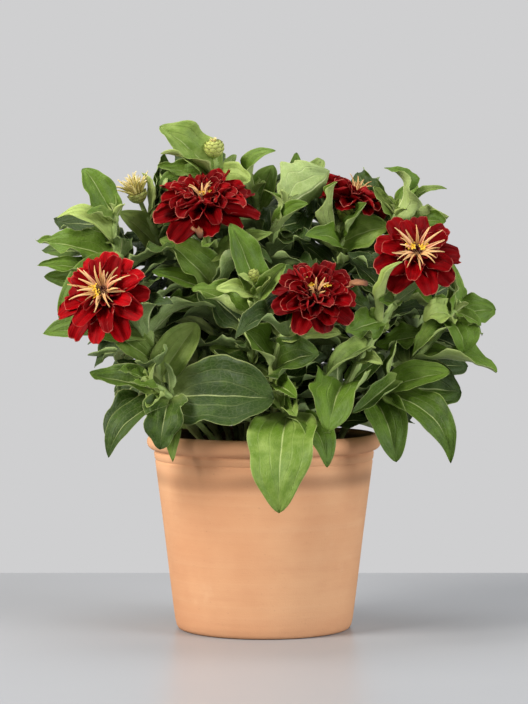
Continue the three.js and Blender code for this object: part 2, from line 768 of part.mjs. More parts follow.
// A bud's green body, and for the opening one the cream spikes that stand on it.
function budParts(kind, curve) {
  const axis = curve.getTangent(1);
  const foot = curve.getPoint(1).addScaledVector(axis, -2);
  const size = BUD_SIZES[kind];
  const sized = (profile) => profile.map(([radius, height]) => [radius * size, height * size]);
  if (kind !== "opening") return { green: turned(sized(BUD), CALYX_SIDES, foot, axis) };
  const face = foot.clone().addScaledVector(axis, BUD_CUP_TOP * size + CLEARANCE);
  const spikes = [turned(SPIKE_DISC, CALYX_SIDES, face, axis)];
  for (let i = 0; i < SPIKES; i += 1) {
    const ring = i % 3;
    const lean = (28 + 24 * ring + 8 * draw(i)) * DEGREE;
    const reach = SPIKE_LENGTH + 3 * draw(i + 9);
    const { root, tip } = spoke({ face, axis }, i * SPIKE_TURN, lean, [4 - 1.5 * ring, 1.6 + ring], reach);
    spikes.push(rod(new THREE.LineCurve3(root, tip), SPIKE_RADIUS, 3, 1));
  }
  return { green: turned(sized(BUD_CUP), CALYX_SIDES, foot, axis), spikes: joined(spikes) };
}

// Every stem stands first, with its bloom's green cup or its bud, so that the leaves keep clear of them.
const greens = {};
const curves = {};
for (const [name, stem] of Object.entries(STEMS)) {
  const curve = stemCurve(stem, 0);
  curves[name] = curve;
  const steps = Math.ceil(curve.getLength() / STEM_STEP);
  greens[name] = [rod(curve, STEM_RADIUS, STEM_SIDES, steps)];
  if (stem.bloom) {
    const { face, axis } = blooms[stem.bloom];
    greens[name].push(turned(CALYX, CALYX_SIDES, face, axis));
  }
  if (stem.bud) {
    const { green, spikes } = budParts(stem.bud, curve);
    greens[name].push(green);
    if (spikes) {
      zinnia.add(meshFrom(`${name}_florets`, spikes, cream));
      stand(`${name}_florets`, spikes);
    }
  }
  greens[name].forEach((solid) => stand(name, solid));
}

// The leaves that the front shows, one by one.
Object.entries(STEMS).forEach(([name, stem], index) => {
  stem.leaves.forEach(([height, place, width, roll, form], i) => {
    const tip = seen(place);
    const solid = settle(name, (slide) => {
      const root = stemPointAt(curves[name], height + slide);
      const face = faceOf(root, tip, roll);
      const phase = 6.28 * draw(17 * index + i);
      return { root, tip, face, width, outline: leafOutline, form: FORMS[form], phase };
    });
    if (solid) greens[name].push(solid);
  });
});

// Then the opposite pairs that fill the stems. Where no swing keeps one clear, the plant has no leaf there.
function pairLeaf(curve, height, angle, seed) {
  const high = (height - 170) / 170;
  const length = PAIR_LENGTH - 14 * high + 14 * draw(seed + 3);
  const lean = (-18 + 44 * high + 16 * (draw(seed + 5) - 0.5)) * DEGREE;
  const form = FORMS[PAIR_FORMS[Math.floor(PAIR_FORMS.length * draw(seed + 7))]];
  const width = PAIR_WIDTH + 10 * draw(seed + 4);
  const phase = 6.28 * draw(seed + 6);
  const flat = length * Math.cos(lean);
  const chord = new THREE.Vector3(flat * Math.cos(angle), flat * Math.sin(angle), length * Math.sin(lean));
  return (slide) => {
    const root = stemPointAt(curve, height + slide);
    const tip = root.clone().add(chord);
    const face = faceOf(root, tip, 30 * (draw(seed + 8) - 0.5));
    return { root, tip, face, width, outline: leafOutline, form, phase, plain: true };
  };
}

Object.entries(STEMS).forEach(([name, stem], index) => {
  if (!stem.pairs) return;
  const [lowest, highest, azimuth] = stem.pairs;
  const hasNearLeaves = stem.foot[1] >= REAR_DEPTH;
  for (let height = lowest, k = 0; height <= highest; height += PAIR_STEP, k += 1) {
    for (const side of [0, 1]) {
      const seed = 1000 + 100 * index + 10 * k + side;
      const angle = (azimuth + 90 * k + 180 * side + 24 * (draw(seed) - 0.5)) * DEGREE;
      if (!hasNearLeaves && Math.sin(angle) < NEAR_SIDE) continue;
      const solid = settle(name, pairLeaf(curves[name], height, angle, seed));
      if (solid) greens[name].push(solid);
    }
  }
});

for (const [name, solids] of Object.entries(greens)) {
  zinnia.add(meshFrom(`${name}_leaves`, joined(solids), leafGreen));
}

export default zinnia;
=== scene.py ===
"""Dresses the potted common zinnia: clay pot, soil, leafy stems, double blooms and buds.

The plant is laid out in millimetres, as its solids are, and every mesh is made in metres.
"""
import logging
import math
from collections.abc import Callable, Iterator, Sequence
from dataclasses import dataclass, field, replace
from enum import Enum

import bpy
import numpy as np
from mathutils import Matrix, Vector
from mathutils.bvhtree import BVHTree
from mathutils.kdtree import KDTree


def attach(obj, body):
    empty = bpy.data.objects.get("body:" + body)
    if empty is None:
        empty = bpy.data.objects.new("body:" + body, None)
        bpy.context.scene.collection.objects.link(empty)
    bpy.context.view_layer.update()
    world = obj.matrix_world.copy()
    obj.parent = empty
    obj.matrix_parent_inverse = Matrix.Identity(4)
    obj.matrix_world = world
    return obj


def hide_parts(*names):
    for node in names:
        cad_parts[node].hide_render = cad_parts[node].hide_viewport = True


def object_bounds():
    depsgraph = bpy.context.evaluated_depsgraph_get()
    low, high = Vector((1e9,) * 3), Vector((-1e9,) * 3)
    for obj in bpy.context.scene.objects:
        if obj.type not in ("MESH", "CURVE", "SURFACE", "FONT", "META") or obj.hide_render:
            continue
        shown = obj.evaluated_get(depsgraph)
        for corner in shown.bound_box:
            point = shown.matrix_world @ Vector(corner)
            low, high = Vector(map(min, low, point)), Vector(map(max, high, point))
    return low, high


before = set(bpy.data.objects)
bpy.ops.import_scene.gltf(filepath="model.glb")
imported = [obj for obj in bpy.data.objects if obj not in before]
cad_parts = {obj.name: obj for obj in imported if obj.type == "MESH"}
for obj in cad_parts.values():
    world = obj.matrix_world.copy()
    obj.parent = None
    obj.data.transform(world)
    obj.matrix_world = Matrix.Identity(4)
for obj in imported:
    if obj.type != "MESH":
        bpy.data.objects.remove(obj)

LOG = logging.getLogger("zinnia")
CAD_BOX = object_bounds()
BODY = "root"
MM = 0.001
TAU = 2 * math.pi
UP = np.array([0.0, 0.0, 1.0])
TO_VIEWER = np.array([0.0, -1.0, 0.0])

# A direction that no stem follows, from which the ring of a tube starts.
ASKEW = np.array([1.0, 0.2, 0.1])

# The places across a blade's half width at which its curl is summed, and their weights.
STRIPS, STRIP_WEIGHTS = (0.5 * part for part in np.polynomial.legendre.leggauss(7))

# The span that phases are drawn from, and the turn between neighbours in a spiral, both in radians.
PHASES = 6.28
SPIRAL = 2.4

Array = np.ndarray
Material = bpy.types.Material
Colour = tuple[float, ...]
Place = tuple[float, float, float]
Profile = Sequence[tuple[float, float]]
Ring = tuple[int, float, float, float]
Mesh = tuple[Array, list[list[int]]]

# The pot and the soil, as their solids have them.
POT_HEIGHT = 167.0
RIM_RADIUS = 100.0
BEAD_FOOT = 153.0
NECK_RADIUS = 94.0
BASE_RADIUS = 75.0
WALL = 8.0
FLOOR = 10.0
DRAIN_RADIUS = 9.0
SOIL_TOP = 155.0
FOOT_DEPTH = 20.0

# The viewpoint that the plant is laid out from, straight in front of the pot.
VIEW_DISTANCE = 2100.0
EYE_HEIGHT = 317.0
LAYOUT_BASE = 2.0


def added(name: str, data: bpy.types.ID) -> bpy.types.Object:
    """Adds an object to the scene.

    Args:
        name: Its name.
        data: The mesh, light or camera that it holds.

    Returns:
        The object.
    """
    made = bpy.data.objects.new(name, data)
    bpy.context.scene.collection.objects.link(made)
    return made


def unit(vector: Array) -> Array:
    """Returns the vector, or each row of an array of them, at unit length."""
    return vector / np.linalg.norm(vector, axis=-1, keepdims=True)


def square_to(vector: Array, direction: Array) -> Array:
    """Returns the part of a vector, or of each, that is square to a unit direction, at unit length."""
    share = np.sum(vector * direction, axis=-1, keepdims=True)
    return unit(vector - direction * share)


def turned(vector: Array, axis: Array, degrees: float | Array) -> Array:
    """Turns vectors about unit axes by the right-hand rule.

    Args:
        vector: One vector or a row of them.
        axis: One unit axis or a row of them.
        degrees: One angle or a column of them.

    Returns:
        The turned vectors.
    """
    angle = np.radians(degrees)
    along = np.sum(vector * axis, axis=-1, keepdims=True)
    return (vector * np.cos(angle) + np.cross(axis, vector) * np.sin(angle)
            + axis * along * (1 - np.cos(angle)))


def chance(seed: float) -> float:
    """Returns a draw between 0 and 1 that is the same for the same seed."""
    value = math.sin(seed * 12.9898) * 43758.5453
    return value - math.floor(value)


def between(low: float, high: float, seed: float) -> float:
    """Returns a draw between two values."""
    return low + (high - low) * chance(seed)


def seen(place: Place) -> Array:
    """Finds the real point of a place that the viewer sees.

    Args:
        place: (across, height, depth) in millimetres, measured in the plane of the pot's axis.

    Returns:
        The point, in millimetres.
    """
    across, height, depth = place
    scale = (VIEW_DISTANCE + depth) / VIEW_DISTANCE
    return np.array([across * scale, depth, EYE_HEIGHT + (height + LAYOUT_BASE - EYE_HEIGHT) * scale])


def looks_at(point: Array) -> tuple[float, float]:
    """Returns the (across, height) at which the viewer sees a real point."""
    scale = (VIEW_DISTANCE + point[1]) / VIEW_DISTANCE
    return point[0] / scale, (point[2] - EYE_HEIGHT) / scale + EYE_HEIGHT - LAYOUT_BASE


def heading(azimuth: float, lean: float) -> Array:
    """Returns the unit direction at an azimuth and a lean above the level, both in radians."""
    return np.array([math.cos(lean) * math.cos(azimuth), math.cos(lean) * math.sin(azimuth), math.sin(lean)])


def curled(share: Array, turn: Array) -> tuple[Array, Array]:
    """Follows strips that curl more and more from a blade's middle line to its edge.

    Args:
        share: How far each strip is followed, as a share of the half width.
        turn: The angle in radians that each has curled by at the edge.

    Returns:
        How far out and how far up each reaches, as shares of the half width.
    """
    along = share[..., None] * (STRIPS + 0.5)
    angle = turn[..., None] * along ** 2.2
    return share * (np.cos(angle) @ STRIP_WEIGHTS), share * (np.sin(angle) @ STRIP_WEIGHTS)


@dataclass(frozen=True)
class BendShape:
    """How a blade bends: rise arches its rib, hook drops its tip, cup lifts its edges, wave ripples them."""

    rise: float
    hook: float
    cup: float
    wave: float
    waves: float
    twist: float


class Bend(Enum):
    """The habits of leaves and petals."""

    FLAT = BendShape(0.08, 0.0, 0.18, 0.05, 1.5, 0)
    WAVY = BendShape(0.1, 0.05, 0.22, 0.16, 2.2, 10)
    DROOPING = BendShape(0.24, 0.12, 0.15, 0.08, 1.5, 0)
    HOOKED = BendShape(0.2, 0.35, 0.25, 0.12, 2, 10)
    FOLDED = BendShape(0.06, 0.08, 0.75, 0.08, 2, 15)
    TWISTED = BendShape(0.15, 0.2, 0.35, 0.15, 1.5, 70)
    CUPPED = BendShape(-0.1, -0.05, 0.45, 0.08, 2, 0)
    PETAL = BendShape(0.03, 0.05, 0.42, 0.05, 1.3, 0)
    QUILL = BendShape(0.1, 0.1, 1.1, 0.0, 1, 25)
    SCALE = BendShape(0.02, 0.0, 0.0, 0.0, 1, 0)
    LOBE = BendShape(0.1, 0.3, 0.3, 0.0, 1, 0)


# The habits of the leaves, which the tables use by their short names.
FLAT, WAVY, DROOPING, HOOKED, FOLDED, TWISTED, CUPPED, *_ = Bend


class Outline(Enum):
    """Which curve a blade's edges follow."""

    LEAF = "leaf"
    BLUNT_LEAF = "blunt leaf"
    PETAL = "petal"
    QUILL = "quill"
    SCALE = "scale"

    def half(self, u: Array) -> Array:
        """Follows a blade's edge.

        Args:
            u: Shares of the length.

        Returns:
            Half the width at each, 1 at the widest.
        """
        if self is Outline.LEAF:
            return np.sqrt(u + 0.0012) * (1 - u).clip(0) ** 0.72 / 0.4585
        if self is Outline.BLUNT_LEAF:
            return np.sqrt(u + 0.0012) * (1 - u ** 1.75).clip(0) ** 0.62 / 0.589
        if self is Outline.PETAL:
            body = 0.12 + 0.88 * np.sin(np.minimum(1, u / 0.7) * math.pi / 2)
            return body - 0.2 * (u - 0.7).clip(0) / 0.3
        if self is Outline.QUILL:
            return 0.35 + 0.65 * np.sin(np.minimum(1, u / 0.4) * math.pi / 2) - 0.75 * (u - 0.4).clip(0) / 0.6
        return 0.75 + 0.25 * np.sin(math.pi * np.minimum(1, u / 0.6) / 2)

    def reach(self, v: Array) -> Array:
        """Rounds and notches a blade's end.

        Args:
            v: Shares of the half width.

        Returns:
            The share of the length that the blade reaches at each.
        """
        if self in (Outline.LEAF, Outline.BLUNT_LEAF, Outline.QUILL):
            return np.ones_like(v)
        rounding = 0.4 if self is Outline.PETAL else 0.5
        notch = 0.025 * np.exp(-((v / 0.2) ** 2)) if self is Outline.PETAL else 0.0
        return 1 - rounding * (1 - np.sqrt(1 - np.abs(v).clip(0, 1) ** 2.3)) - notch


@dataclass
class Blade:
    """A leaf, petal, quill or scale: a curved sheet from its root to its tip.

    Face is the way its upper side looks. Frill waves its edges, groove sinks its midrib, wrap is the
    radius of what it hugs, curl turns its tip up, keel folds it along the rib, and each roll is
    (place along, which edge, turn in radians). A plain leaf was set by a rule.
    """

    root: Array
    tip: Array
    face: Array
    width: float
    outline: Outline
    bend: BendShape
    phase: float = 0.0
    plain: bool = False
    tone: float = 0.5
    seed: float = 0.0
    thickness: float = 0.5
    frill: float = 0.0
    groove: float = 0.0
    wrap: float = 0.0
    curl: float = 0.0
    bluntness: float = 0.5
    keel: float = 0.0
    rolls: tuple[tuple[float, float, float], ...] = ()

    @property
    def length(self) -> float:
        """Returns the distance from root to tip."""
        return float(np.linalg.norm(self.tip - self.root))

    def rib(self, u: Array) -> tuple[Array, Array, Array, Array]:
        """Follows the blade's middle line.

        Args:
            u: Shares of the length.

        Returns:
            Its points, tangents, upward normals and directions to the blade's side.
        """
        chord = self.tip - self.root
        along = unit(chord)
        up = square_to(self.face, along)
        lift = self.length * up
        first = self.root + 0.33 * chord + self.bend.rise * lift
        second = self.root + 0.72 * chord + (self.bend.rise + self.bend.hook) * lift
        t = u[:, None]
        points = ((1 - t) ** 3 * self.root + 3 * t * (1 - t) ** 2 * first
                  + 3 * t ** 2 * (1 - t) * second + t ** 3 * self.tip)
        slopes = ((1 - t) ** 2 * (first - self.root) + 2 * t * (1 - t) * (second - first)
                  + t ** 2 * (self.tip - second))
        tangents = unit(slopes)
        level = square_to(np.broadcast_to(up, tangents.shape), tangents)
        normals = turned(level, tangents, self.bend.twist * t)
        return points, tangents, normals, np.cross(tangents, normals)

    def sheet(self, u: Array, v: Array, fine: bool = False) -> tuple[Array, Array]:
        """Lays the blade's middle sheet out on a grid.

        Args:
            u: Shares of the length, for the rows.
            v: Shares of the half width, from -1 to 1, for the columns.
            fine: Whether the round ends, frills and veins are there, or only the main form.

        Returns:
            The points, rows by columns by 3, and the rows' normals.
        """
        across, along = np.meshgrid(v, u)
        reach = self.outline.reach(v)[None, :] if fine else np.ones((1, len(v)))
        shares = along * reach
        ribs, _, normals, sides = (part.reshape(*shares.shape, 3) for part in self.rib(shares.ravel()))
        shape = self.outline.half(along)
        if fine and self.outline is Outline.LEAF:
            shape = shape + self.bluntness * (Outline.BLUNT_LEAF.half(along) - shape)
            scallops = np.sin(TAU * 2.7 * along + 3 * self.phase + 2 * np.sign(across))
            shape = shape * (1 + 0.6 * self.frill * scallops)
        half = np.maximum(0.18 if fine else 0.5, self.width / 2 * shape)
        fade = np.sqrt(np.sin(math.pi * np.minimum(1, along + 0.02)).clip(0) + 0.05)
        ripple = np.sin(TAU * self.bend.waves * along + self.phase + np.where(across > 0, 1.7, 0))
        lift = (self.bend.cup * half * np.abs(across) ** 1.6
                + self.bend.wave * self.width / 2 * ripple * across ** 2 * fade)
        reach_out = across * half
        if fine:
            extra = self.detail(along, across, half, fade)
            curved = extra + (lift if self.outline is Outline.PETAL else 0)
            turn = sum((height * np.exp(-(((along - place) / 0.22) ** 2)) * (across * edge > 0)
                        for place, edge, height in self.rolls), np.zeros_like(along))
            out, up = curled(np.abs(across), turn)
            reach_out = np.sign(across) * half * out / np.sqrt(1 + 1.2 * (curved / half) ** 2)
            lift = lift + extra + half * up
            if self.outline is Outline.LEAF:
                lift = lift + self.curl * self.length * ((along - 0.7) / 0.3).clip(0) ** 2
        points = ribs + sides * reach_out[..., None] + normals * lift[..., None]
        return points, normals

    def detail(self, along: Array, across: Array, half: Array, fade: Array) -> Array:
        """Lifts a grid of points off the main form by frills, folds and veins.

        Args:
            along: The points' shares of the length.
            across: Their shares of the half width.
            half: The half width at each.
            fade: How much the edges may wave at each.

        Returns:
            The lift at each point.
        """
        side = np.sign(across)
        rate = self.bend.waves + 0.9
        flutter = np.sin(TAU * rate * along + 2 * self.phase + 2.1 * side)
        flutter += 0.3 * np.sin(TAU * 2.3 * rate * along + 5 * self.phase - 1.3 * side)
        calm = np.minimum(1, 4 * half / self.width)
        lift = self.frill * self.width / 2 * flutter * np.abs(across) ** 2.4 * fade * calm
        lift -= self.groove * np.exp(-((across * half / 1.1) ** 2)) * np.minimum(1, 4 * (1 - along))
        if self.outline is Outline.LEAF:
            fold = np.sin(math.pi * np.minimum(1, along + 0.1)).clip(0) ** 0.5
            lift += self.keel * half * np.abs(across) * fold
            lift += 0.12 * self.frill * self.width * np.sin(TAU * 0.8 * along + self.phase) * across
            lift -= 0.02 * self.width * np.cos(TAU * 1.5 * across) * np.sin(math.pi * along)
            lift += 0.01 * self.width * np.sin(9 * np.abs(across) + TAU * 3.5 * along) * (1 - across ** 2)
        if self.outline is Outline.PETAL:
            folds = np.cos(3 * math.pi * across + self.phase) + 0.4 * np.cos(6 * across + 9 * along)
            lift += 0.034 * self.width * folds * np.minimum(1, 3 * along)
        if self.wrap:
            lift -= (across * half) ** 2 / (2 * self.wrap)
        return lift


class Draft:
    """The points, faces and surface shares of one piece while it is put together, in millimetres."""

    def __init__(self) -> None:
        """Starts an empty draft."""
        self.points: list[Array] = []
        self.marks: list[Array] = []
        self.traits: list[Array] = []
        self.faces: list[Array] = []
        self.count = 0

    def add(self, points: Array, faces: Array, marks: Array, traits: Array) -> None:
        """Adds points with their quads.

        Args:
            points: Places, one row each.
            faces: Quads by index; a triangle repeats its last corner.
            marks: For each point, its share along, its share across and its tone.
            traits: For each point, its seed, 1 on an upper face, and the blade's width.
        """
        self.points.append(points)
        self.marks.append(marks)
        self.traits.append(traits)
        self.faces.append(faces + self.count)
        self.count += len(points)

    def add_blade(self, blade: Blade, rows: int, columns: int) -> None:
        """Adds a blade as a thin closed solid.

        Args:
            blade: The blade.
            rows: How many rows of points run from its root to its tip.
            columns: How many columns run across it, an odd number.
        """
        u = 0.5 - 0.5 * np.cos(np.linspace(0, math.pi, rows))
        u = 0.55 * u + 0.45 * np.linspace(0, 1, rows)
        across = np.linspace(-1, 1, columns)
        v = np.sign(across) * np.abs(across) ** 1.15
        middle, normals = blade.sheet(u, v, fine=True)
        normals = surface_normals(middle, normals)
        grid_u, grid_v = np.meshgrid(u, v, indexing="ij")
        thin = blade.thickness * (0.35 + 0.65 * (1 - np.abs(grid_v) ** 4) * (1 - grid_u ** 6))
        offset = normals * (thin / 2)[..., None]
        shape = grid_u.size
        points = np.concatenate([(middle + offset).reshape(-1, 3), (middle - offset).reshape(-1, 3)])
        marks = np.stack([grid_u.ravel(), grid_v.ravel(), np.full(shape, blade.tone)], 1)
        upper = np.stack([np.full(shape, blade.seed), np.ones(shape), np.full(shape, blade.width)], 1)
        lower = upper * [1, 0, 1]
        self.add(points, blade_faces(rows, columns), np.concatenate([marks, marks]),
                 np.concatenate([upper, lower]))

    def add_tube(self, path: Array, radii: Array, sides: int, tone: float, seed: float) -> None:
        """Adds a closed tube along a path.

        Args:
            path: The middle's points.
            radii: The radius at each point.
            sides: How many sides it has.
            tone: Its tone.
            seed: Its seed.
        """
        tangents = unit(np.gradient(path, axis=0))
        first = square_to(ASKEW, tangents)
        second = np.cross(tangents, first)
        angle = (np.arange(sides) * TAU / sides)[None, :, None]
        ring = first[:, None] * np.cos(angle) + second[:, None] * np.sin(angle)
        points = path[:, None] + ring * radii[:, None, None]
        rows = len(path)
        share = np.append(np.repeat(np.linspace(0, 1, rows), sides), [0, 1])
        around = np.append(np.tile(np.arange(sides) / sides, rows), [0, 0])
        marks = np.stack([share, around, np.full(len(share), tone)], 1)
        traits = np.tile([seed, 1.0, float(radii.mean())], (len(share), 1))
        faces = np.concatenate([tube_faces(rows, sides), cap_faces(rows, sides)])
        self.add(np.concatenate([points.reshape(-1, 3), path[[0, -1]]]), faces, marks, traits)

    def piece(self, name: str, finish: Material, slot: str, nodes: Sequence[str]) -> None:
        """Makes the piece, which rides on the plant's body and stands for CAD nodes.

        Args:
            name: The piece's name.
            finish: Its material.
            slot: The record's material slot that it belongs to; not used.
            nodes: The nodes that it replaces.
        """
        points = np.concatenate(self.points) * MM
        quads = np.concatenate(self.faces).tolist()
        mesh = bpy.data.meshes.new(name)
        mesh.from_pydata(points.tolist(), [], [quad[:3] if quad[2] == quad[3] else quad for quad in quads])
        mesh.validate()
        for label, rows in (("blade", self.marks), ("trait", self.traits)):
            layer = mesh.attributes.new(label, "FLOAT_VECTOR", "POINT")
            layer.data.foreach_set("vector", np.concatenate(rows).astype(np.float32).ravel())
        mesh.shade_smooth()
        mesh.materials.append(finish)
        piece = added(name, mesh)
        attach(piece, BODY)
        if nodes:
            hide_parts(*nodes)
        LOG.info("%s: %d faces", name, len(quads))


def surface_normals(grid: Array, guide: Array) -> Array:
    """Works out which way a grid of points faces.

    Args:
        grid: Points, rows by columns by 3.
        guide: The normal to keep to at each, where the grid is narrow.

    Returns:
        Unit normals.
    """
    slopes = np.cross(np.gradient(grid, axis=1), np.gradient(grid, axis=0))
    area = np.linalg.norm(slopes, axis=-1, keepdims=True)
    trust = np.minimum(1, area / (0.25 * area.mean()))
    return unit(slopes / np.maximum(area, 1e-9) * trust + guide * (1.001 - trust))


def grid_faces(rows: int, columns: int) -> Array:
    """Returns the quads of a sheet of points, row after row."""
    a = np.arange(rows * columns).reshape(rows, columns)[:-1, :-1].ravel()
    return np.stack([a, a + 1, a + columns + 1, a + columns], 1)


def blade_faces(rows: int, columns: int) -> Array:
    """Closes a blade whose lower points follow its upper ones.

    Args:
        rows: How many rows of points each side has.
        columns: How many columns it has.

    Returns:
        The quads by index.
    """
    upper = grid_faces(rows, columns)
    low = rows * columns
    ring = np.concatenate([
        np.arange(columns),
        columns - 1 + columns * np.arange(1, rows),
        np.arange(rows * columns - 2, (rows - 1) * columns - 1, -1),
        columns * np.arange(rows - 2, 0, -1)])
    after = np.roll(ring, -1)
    rim = np.stack([after, ring, ring + low, after + low], 1)
    return np.concatenate([upper, upper[:, [0, 3, 2, 1]] + low, rim])


def tube_faces(rows: int, sides: int, is_ring: bool = False) -> Array:
    """Joins rings of points, one after another, into a tube's wall.

    Args:
        rows: How many rings there are.
        sides: How many points each has.
        is_ring: Whether the last ring is joined to the first.

    Returns:
        The quads by index.
    """
    j, i = divmod(np.arange((rows if is_ring else rows - 1) * sides), sides)
    a = j * sides + i
    b = j * sides + (i + 1) % sides
    return np.stack([a, b, b + sides, a + sides], 1) % (rows * sides)


def cap_faces(rows: int, sides: int) -> Array:
    """Closes a tube's ends round the two points that follow its rings.

    Args:
        rows: How many rings there are.
        sides: How many points each has.

    Returns:
        Triangles by index, each with its last corner repeated.
    """
    base = rows * sides
    i = np.arange(sides)
    j = (i + 1) % sides
    last = base - sides
    return np.concatenate([np.stack([np.full(sides, base), j, i, i], 1),
                           np.stack([np.full(sides, base + 1), last + i, last + j, last + j], 1)])


class StemCurve:
    """The curve of a stem's middle through its points, as the solids have it."""

    def __init__(self, points: Sequence[Array]) -> None:
        """Keeps the points, with one more past each end.

        Args:
            points: What the curve runs through.
        """
        inner = np.array(points)
        self.spans = len(inner) - 1
        self.points = np.concatenate([[2 * inner[0] - inner[1]], inner, [2 * inner[-1] - inner[-2]]])

    def at(self, t: float) -> Array:
        """Finds a point by its share of the curve's spans.

        Args:
            t: The share, from 0 to 1.

        Returns:
            The point.
        """
        whole = min(int(self.spans * t), self.spans - 1)
        w = self.spans * t - whole
        p = self.points[whole:whole + 4]
        d = np.linalg.norm(np.diff(p, axis=0), axis=1) ** 0.5
        start = ((p[1] - p[0]) / d[0] - (p[2] - p[0]) / (d[0] + d[1]) + (p[2] - p[1]) / d[1]) * d[1]
        end = ((p[2] - p[1]) / d[1] - (p[3] - p[1]) / (d[1] + d[2]) + (p[3] - p[2]) / d[2]) * d[1]
        return (p[1] + start * w + (3 * (p[2] - p[1]) - 2 * start - end) * w ** 2
                + (2 * (p[1] - p[2]) + start + end) * w ** 3)

    def at_height(self, height: float) -> Array:
        """Finds the point at a height, by halving.

        Args:
            height: The height in millimetres.

        Returns:
            The point.
        """
        low, high = 0.0, 1.0
        for _ in range(24):
            middle = (low + high) / 2
            if self.at(middle)[2] < height:
                low = middle
            else:
                high = middle
        return self.at(low)

    def samples(self, step: float) -> Array:
        """Lays points along the curve.

        Args:
            step: How far apart they lie.

        Returns:
            The points.
        """
        rough = np.array([self.at(t) for t in np.linspace(0, 1, 60)])
        length = float(np.sum(np.linalg.norm(np.diff(rough, axis=0), axis=1)))
        return np.array([self.at(t) for t in np.linspace(0, 1, int(length / step) + 2)])


@dataclass(frozen=True)
class BudShape:
    """A bud: its rows of scales and its body's top as (radius, height), and the spikes that leave it.

    The spikes stand on a disc of a radius at a height. They spread by up to an angle in degrees, and
    reach from the least to the most.
    """

    size: float
    rows: Profile
    top: Profile
    spikes: int
    spread: float
    radius: float
    height: float
    least: float
    most: float
    width: float


OPEN_BUD = BudShape(
    0.9, ((2.7, 0), (6.4, 2.6), (8.3, 6.0), (8.6, 9.2)), ((8.0, 9.4), (0.3, 9.8)),
    46, 52, 6.4, 9.4, 12, 19, 2.4)
CLOSED_BUD = BudShape(
    0.95, ((2.7, 0), (6.2, 2.4), (8.0, 5.6), (8.2, 9.4), (6.8, 12.6), (4.2, 14.6)),
    ((8.0, 9), (7.0, 12.8), (4.2, 14.8), (0.3, 15.4)), 16, 16, 3.2, 14.2, 1.6, 3.4, 1.5)


class BudKind(Enum):
    """How far a bud is."""

    CLOSED = CLOSED_BUD
    OPENING = OPEN_BUD
    SMALL = replace(CLOSED_BUD, size=0.74)


Leaf = tuple[float, Place, float, float, Bend]


@dataclass(frozen=True)
class StemPlan:
    """One leafy stem: its foot in the soil, its seen route, what it bears and its leaves.

    A leaf is (height of its root, seen place of its tip, width, roll to the viewer, habit).
    Pairs is (lowest, highest, first azimuth) of the opposite pairs that fill it by rule.
    Small leaves are too fine for the solids and are only here. Youth and shade shifts the tone of a stem's
    leaves: up for young leaves, down for dark ones; the filling uses it for painted shade.
    Accents are (leaf, tone, bluntness) of single leaves; the small ones count from FIRST_SMALL.
    """

    name: str
    foot: tuple[float, float]
    route: tuple[Place, ...]
    bloom: str | None = None
    bud: BudKind | None = None
    pairs: tuple[float, float, float] | None = None
    leaves: tuple[Leaf, ...] = ()
    small: tuple[Leaf, ...] = ()
    youth_and_shade: float = 0.0
    accents: tuple[tuple[int, float, float], ...] = ()


@dataclass(frozen=True)
class BloomPlan:
    """One bloom: the seen place of its face, the way it looks, and its rings from the outside in.

    A ring is (petals, length, width, lean above the face in degrees). Inner is the same for the short
    rolled petals round the heart. Quills is (count, length, lowest lean), and stars are places in mm.
    Hang is how much longer the lowest petals are.
    """

    face: Place
    axis: Place
    rings: tuple[Ring, ...]
    inner: tuple[Ring, ...]
    quills: tuple[int, float, float]
    stars: tuple[tuple[float, float], ...]
    tone: float = 0.5
    hang: float = 0.0


BLOOMS: dict[str, BloomPlan] = {
    "left": BloomPlan(
        (-136, 284, -76), (-0.3, -0.86, 0.42),
        ((12, 33, 18, 0), (8, 28, 15, 19)), ((7, 15, 8, 46), (6, 9, 5, 66)),
        (24, 25, 22), ((-7, 1), (-4, -4)), 0.7, 7.0),
    "front": BloomPlan(
        (44, 282, -92), (0.05, -0.8, 0.6),
        ((9, 31, 19, -6), (8, 28, 16, 14), (6, 22, 13, 35), (4, 16, 10, 58)),
        ((8, 25, 14, 24), (7, 18, 11, 46)), (7, 15, 60), ((9, 7), (-5, 8)), 0.4),
    "right": BloomPlan(
        (130, 318, -50), (0.05, -0.88, 0.47),
        ((9, 32, 20, 0), (5, 25, 15, 18)), ((5, 14, 7, 44), (5, 9, 5, 66)),
        (20, 24, 24), ((6, 3), (-5, 4)), 0.5, 6.0),
    "upper_left": BloomPlan(
        (-51, 361, -12), (-0.08, -0.52, 0.85),
        ((9, 41, 23, -12), (8, 36, 19, 8), (6, 27, 14, 30), (4, 18, 11, 56)),
        ((9, 32, 17, 19), (8, 22, 12, 42)), (10, 16, 58), ((0, 1), (5, 3)), 0.5),
    "upper_right": BloomPlan(
        (76, 364, 28), (0.38, -0.12, 0.92),
        ((8, 25, 16, -14), (6, 24, 15, 8), (4, 20, 12, 32), (3, 15, 9, 58)),
        ((9, 29, 16, -2), (8, 26, 14, 24), (6, 18, 9, 45)), (9, 16, 56), ((0, 2),), 0.5),
}

